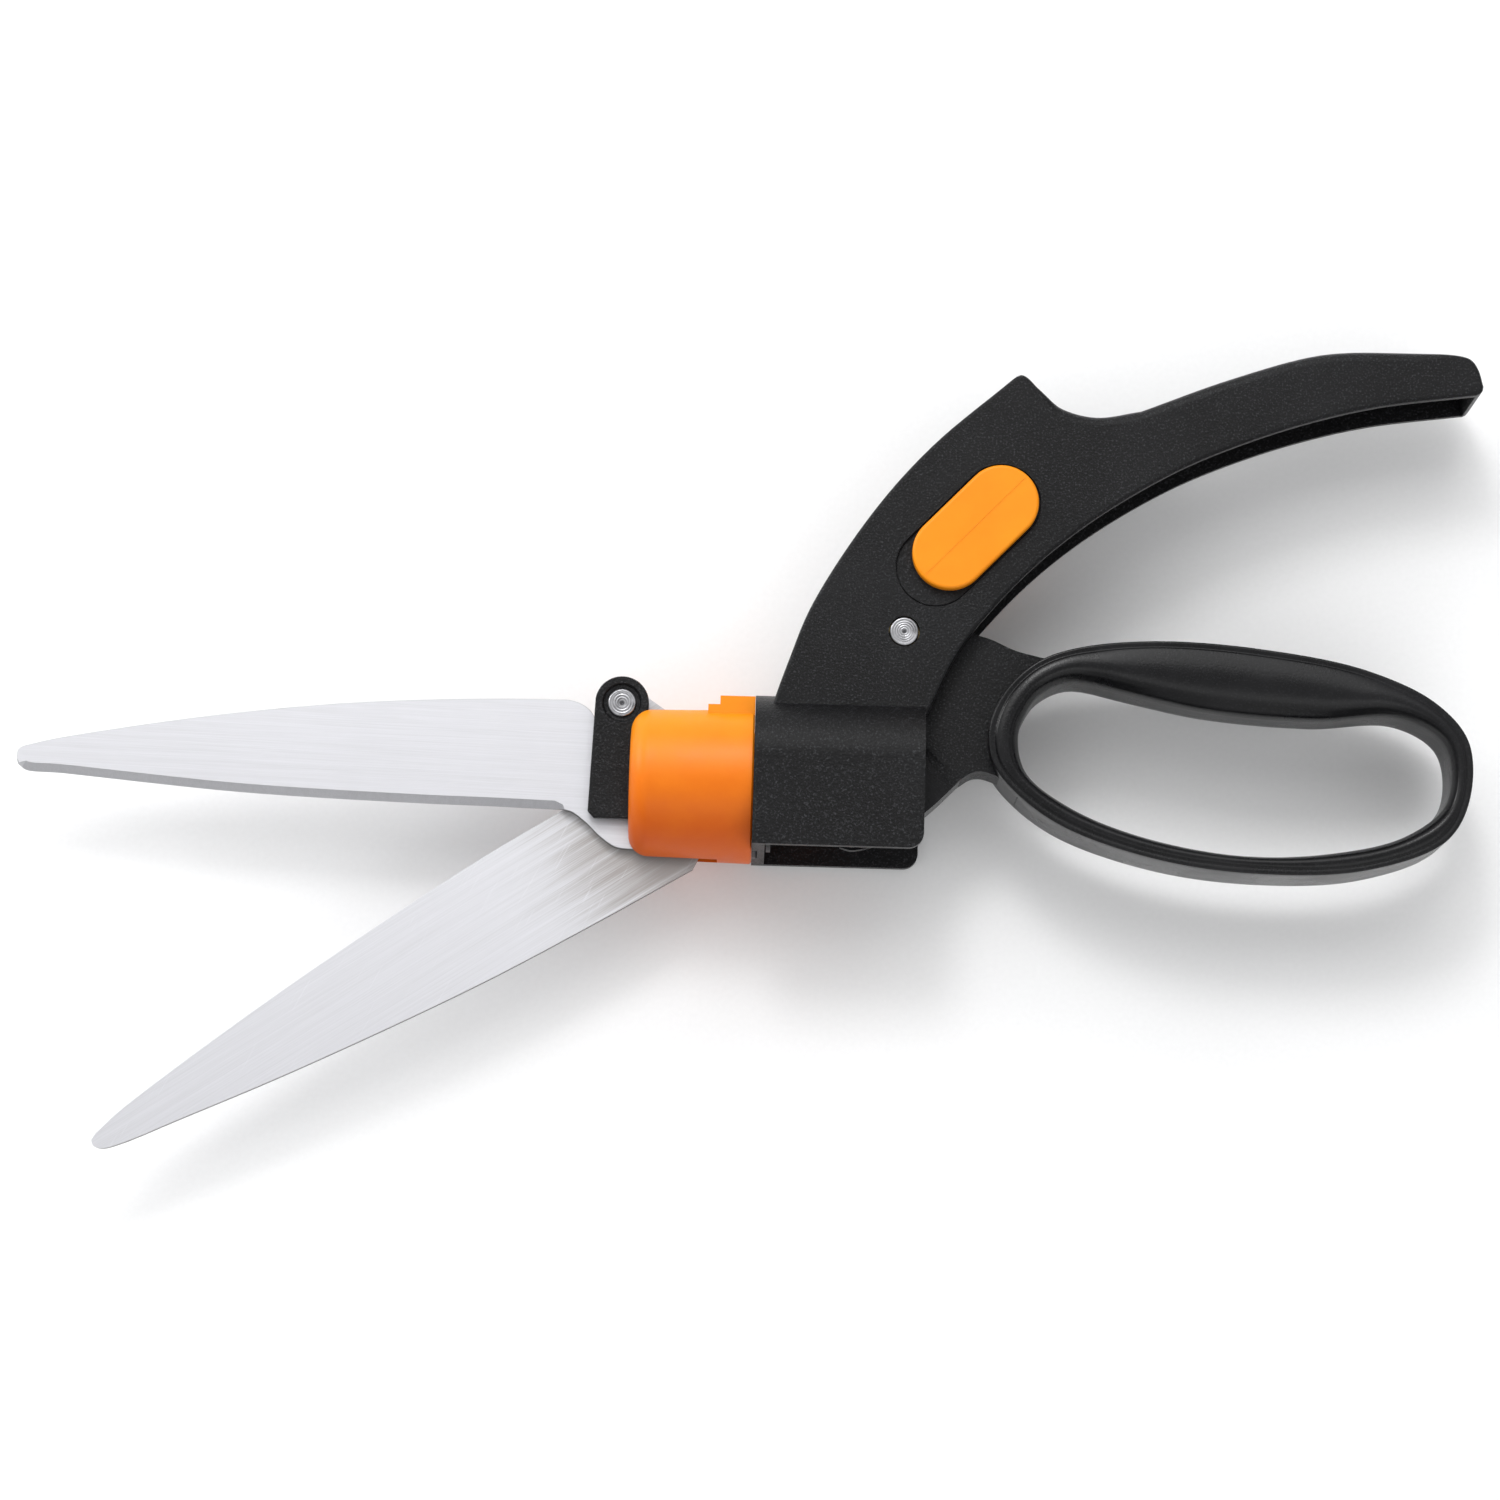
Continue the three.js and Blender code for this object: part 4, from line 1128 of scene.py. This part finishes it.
handle_body(black)
lower_handle(satin, black)
swivel_collar(orange)
yoke(black)
fixed_blade(fixed_steel)
moving_blade(moving_steel)
lock_button("lock_slider_front", 1, orange)
lock_button("lock_slider_back", -1, orange)

pivot_rivet = turned_rivet("handle_rivet", PIVOT, -HANDLE_HALF, HANDLE_HALF, 3.27, 3.27, 0, 0.4, 6)
soften(dress(pivot_rivet, turned_steel("handle_rivet_steel", PIVOT)), 0.0, 50)
settle(pivot_rivet, "upper_handle", "rivet_steel", "handle_pivot_rivet")

ear_rivet = turned_rivet("ear_rivet", DRIVE, -YOKE_OUT, YOKE_OUT, 2.1, 3.2, 0.6, 0.15, 4)
soften(dress(ear_rivet, turned_steel("ear_rivet_steel", DRIVE)), 0.0, 50)
settle(ear_rivet, "drive", "rivet_steel", "drive_rivet")
return_spring(spring_steel)

KEPT = {
    "handle_pivot_bush": brass,
    "bearing_bush": white,
    "swivel_friction_ring": black_steel,
    "collar_retaining_ring": black_steel,
    "tang_pin": bright_steel,
    "blade_pivot_rivet": bright_steel,
    "blade_spring_washer": spring_steel,
    "spring_seat_washer": white,
    "drive_bush": brass,
    "pull_rod": bright_steel,
    "thrust_washer": brass,
    "rod_button": bright_steel,
    "lock_bar": black,
    "lock_pin_1": bright_steel,
    "lock_pin_2": bright_steel,
}
for node, material in KEPT.items():
    for slot_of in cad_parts[node].material_slots:
        slot_of.material = material


# ---- floor, light and camera --------------------------------------------------------------


def add_floor():
    mesh = bpy.data.meshes.new("floor")
    half = 3.0
    corners = [(-half, -half, 0), (half, -half, 0), (half, half, 0), (-half, half, 0)]
    mesh.from_pydata(corners, [], [(0, 1, 2, 3)])
    floor = bpy.data.objects.new("floor", mesh)
    floor.location.z = -0.5 * MM
    floor.data.materials.append(floor_paper())
    bpy.context.scene.collection.objects.link(floor)


def add_light(name, place, target, size, power):
    data = bpy.data.lights.new(name, "AREA")
    data.size = size
    data.energy = power
    lamp = bpy.data.objects.new(name, data)
    lamp.location = place
    aim = Vector(target) - Vector(place)
    lamp.rotation_euler = aim.to_track_quat("-Z", "Y").to_euler()
    bpy.context.scene.collection.objects.link(lamp)


def add_world(strength):
    """An even white room with a band of light round it, dimmer above and below the band."""
    world = bpy.data.worlds.new("studio")
    world.use_nodes = True
    tree = world.node_tree
    background = tree.nodes["Background"]
    place = tree.nodes.new("ShaderNodeTexCoord")
    split = tree.nodes.new("ShaderNodeSeparateXYZ")
    tree.links.new(place.outputs["Generated"], split.inputs[0])
    ramp = tree.nodes.new("ShaderNodeValToRGB")
    tree.links.new(split.outputs["Z"], ramp.inputs["Fac"])
    stops = [(0.0, 0.95), (0.22, 0.9), (0.38, 0.32), (0.52, 0.32), (0.66, 1.15), (0.80, 1.15),
             (0.92, 0.80), (1.0, 0.80)]
    elements = ramp.color_ramp.elements
    while len(elements) < len(stops):
        elements.new(0.5)
    for element, (at, value) in zip(elements, stops):
        element.position = at
        element.color = (0.985 * value, 0.99 * value, value, 1)
    tree.links.new(ramp.outputs["Color"], background.inputs["Color"])
    background.inputs["Strength"].default_value = strength
    bpy.context.scene.world = world


def add_camera():
    """Looks down on the shears from just to the front of overhead, with a slight roll."""
    tilt = math.radians(9.0)
    roll = math.radians(1.63)
    distance = 1.05
    seen_width = 0.3414
    target = Vector((-20.7, 8.44, MID)) * MM
    back = Vector((0, -math.sin(tilt), math.cos(tilt)))
    across = Vector((1, 0, 0))
    upward = Vector((0, math.cos(tilt), math.sin(tilt)))
    right = across * math.cos(roll) + upward * math.sin(roll)
    up = upward * math.cos(roll) - across * math.sin(roll)
    data = bpy.data.cameras.new("camera")
    data.sensor_width = 36
    data.lens = data.sensor_width * distance / seen_width
    data.clip_start = 0.01
    camera = bpy.data.objects.new("camera", data)
    turn = Matrix((right, up, back)).transposed().to_4x4()
    camera.matrix_world = Matrix.Translation(target + back * distance) @ turn
    bpy.context.scene.collection.objects.link(camera)
    bpy.context.scene.camera = camera


add_floor()
add_light("key", (-0.20, 1.00, 1.10), (0, 0, 0), 1.4, 12)
add_light("strip", (-0.25, 0.95, 1.10), (0, 0, 0), 0.34, 5)
add_light("fill", (0.5, -1.0, 0.9), (0, 0, 0), 1.2, 4)
add_light("edge", (-1.35, 0.75, 0.50), (0, 0.04, 0), 0.5, 10)
add_world(0.80)
add_camera()
bpy.context.scene.view_settings.view_transform = "Standard"
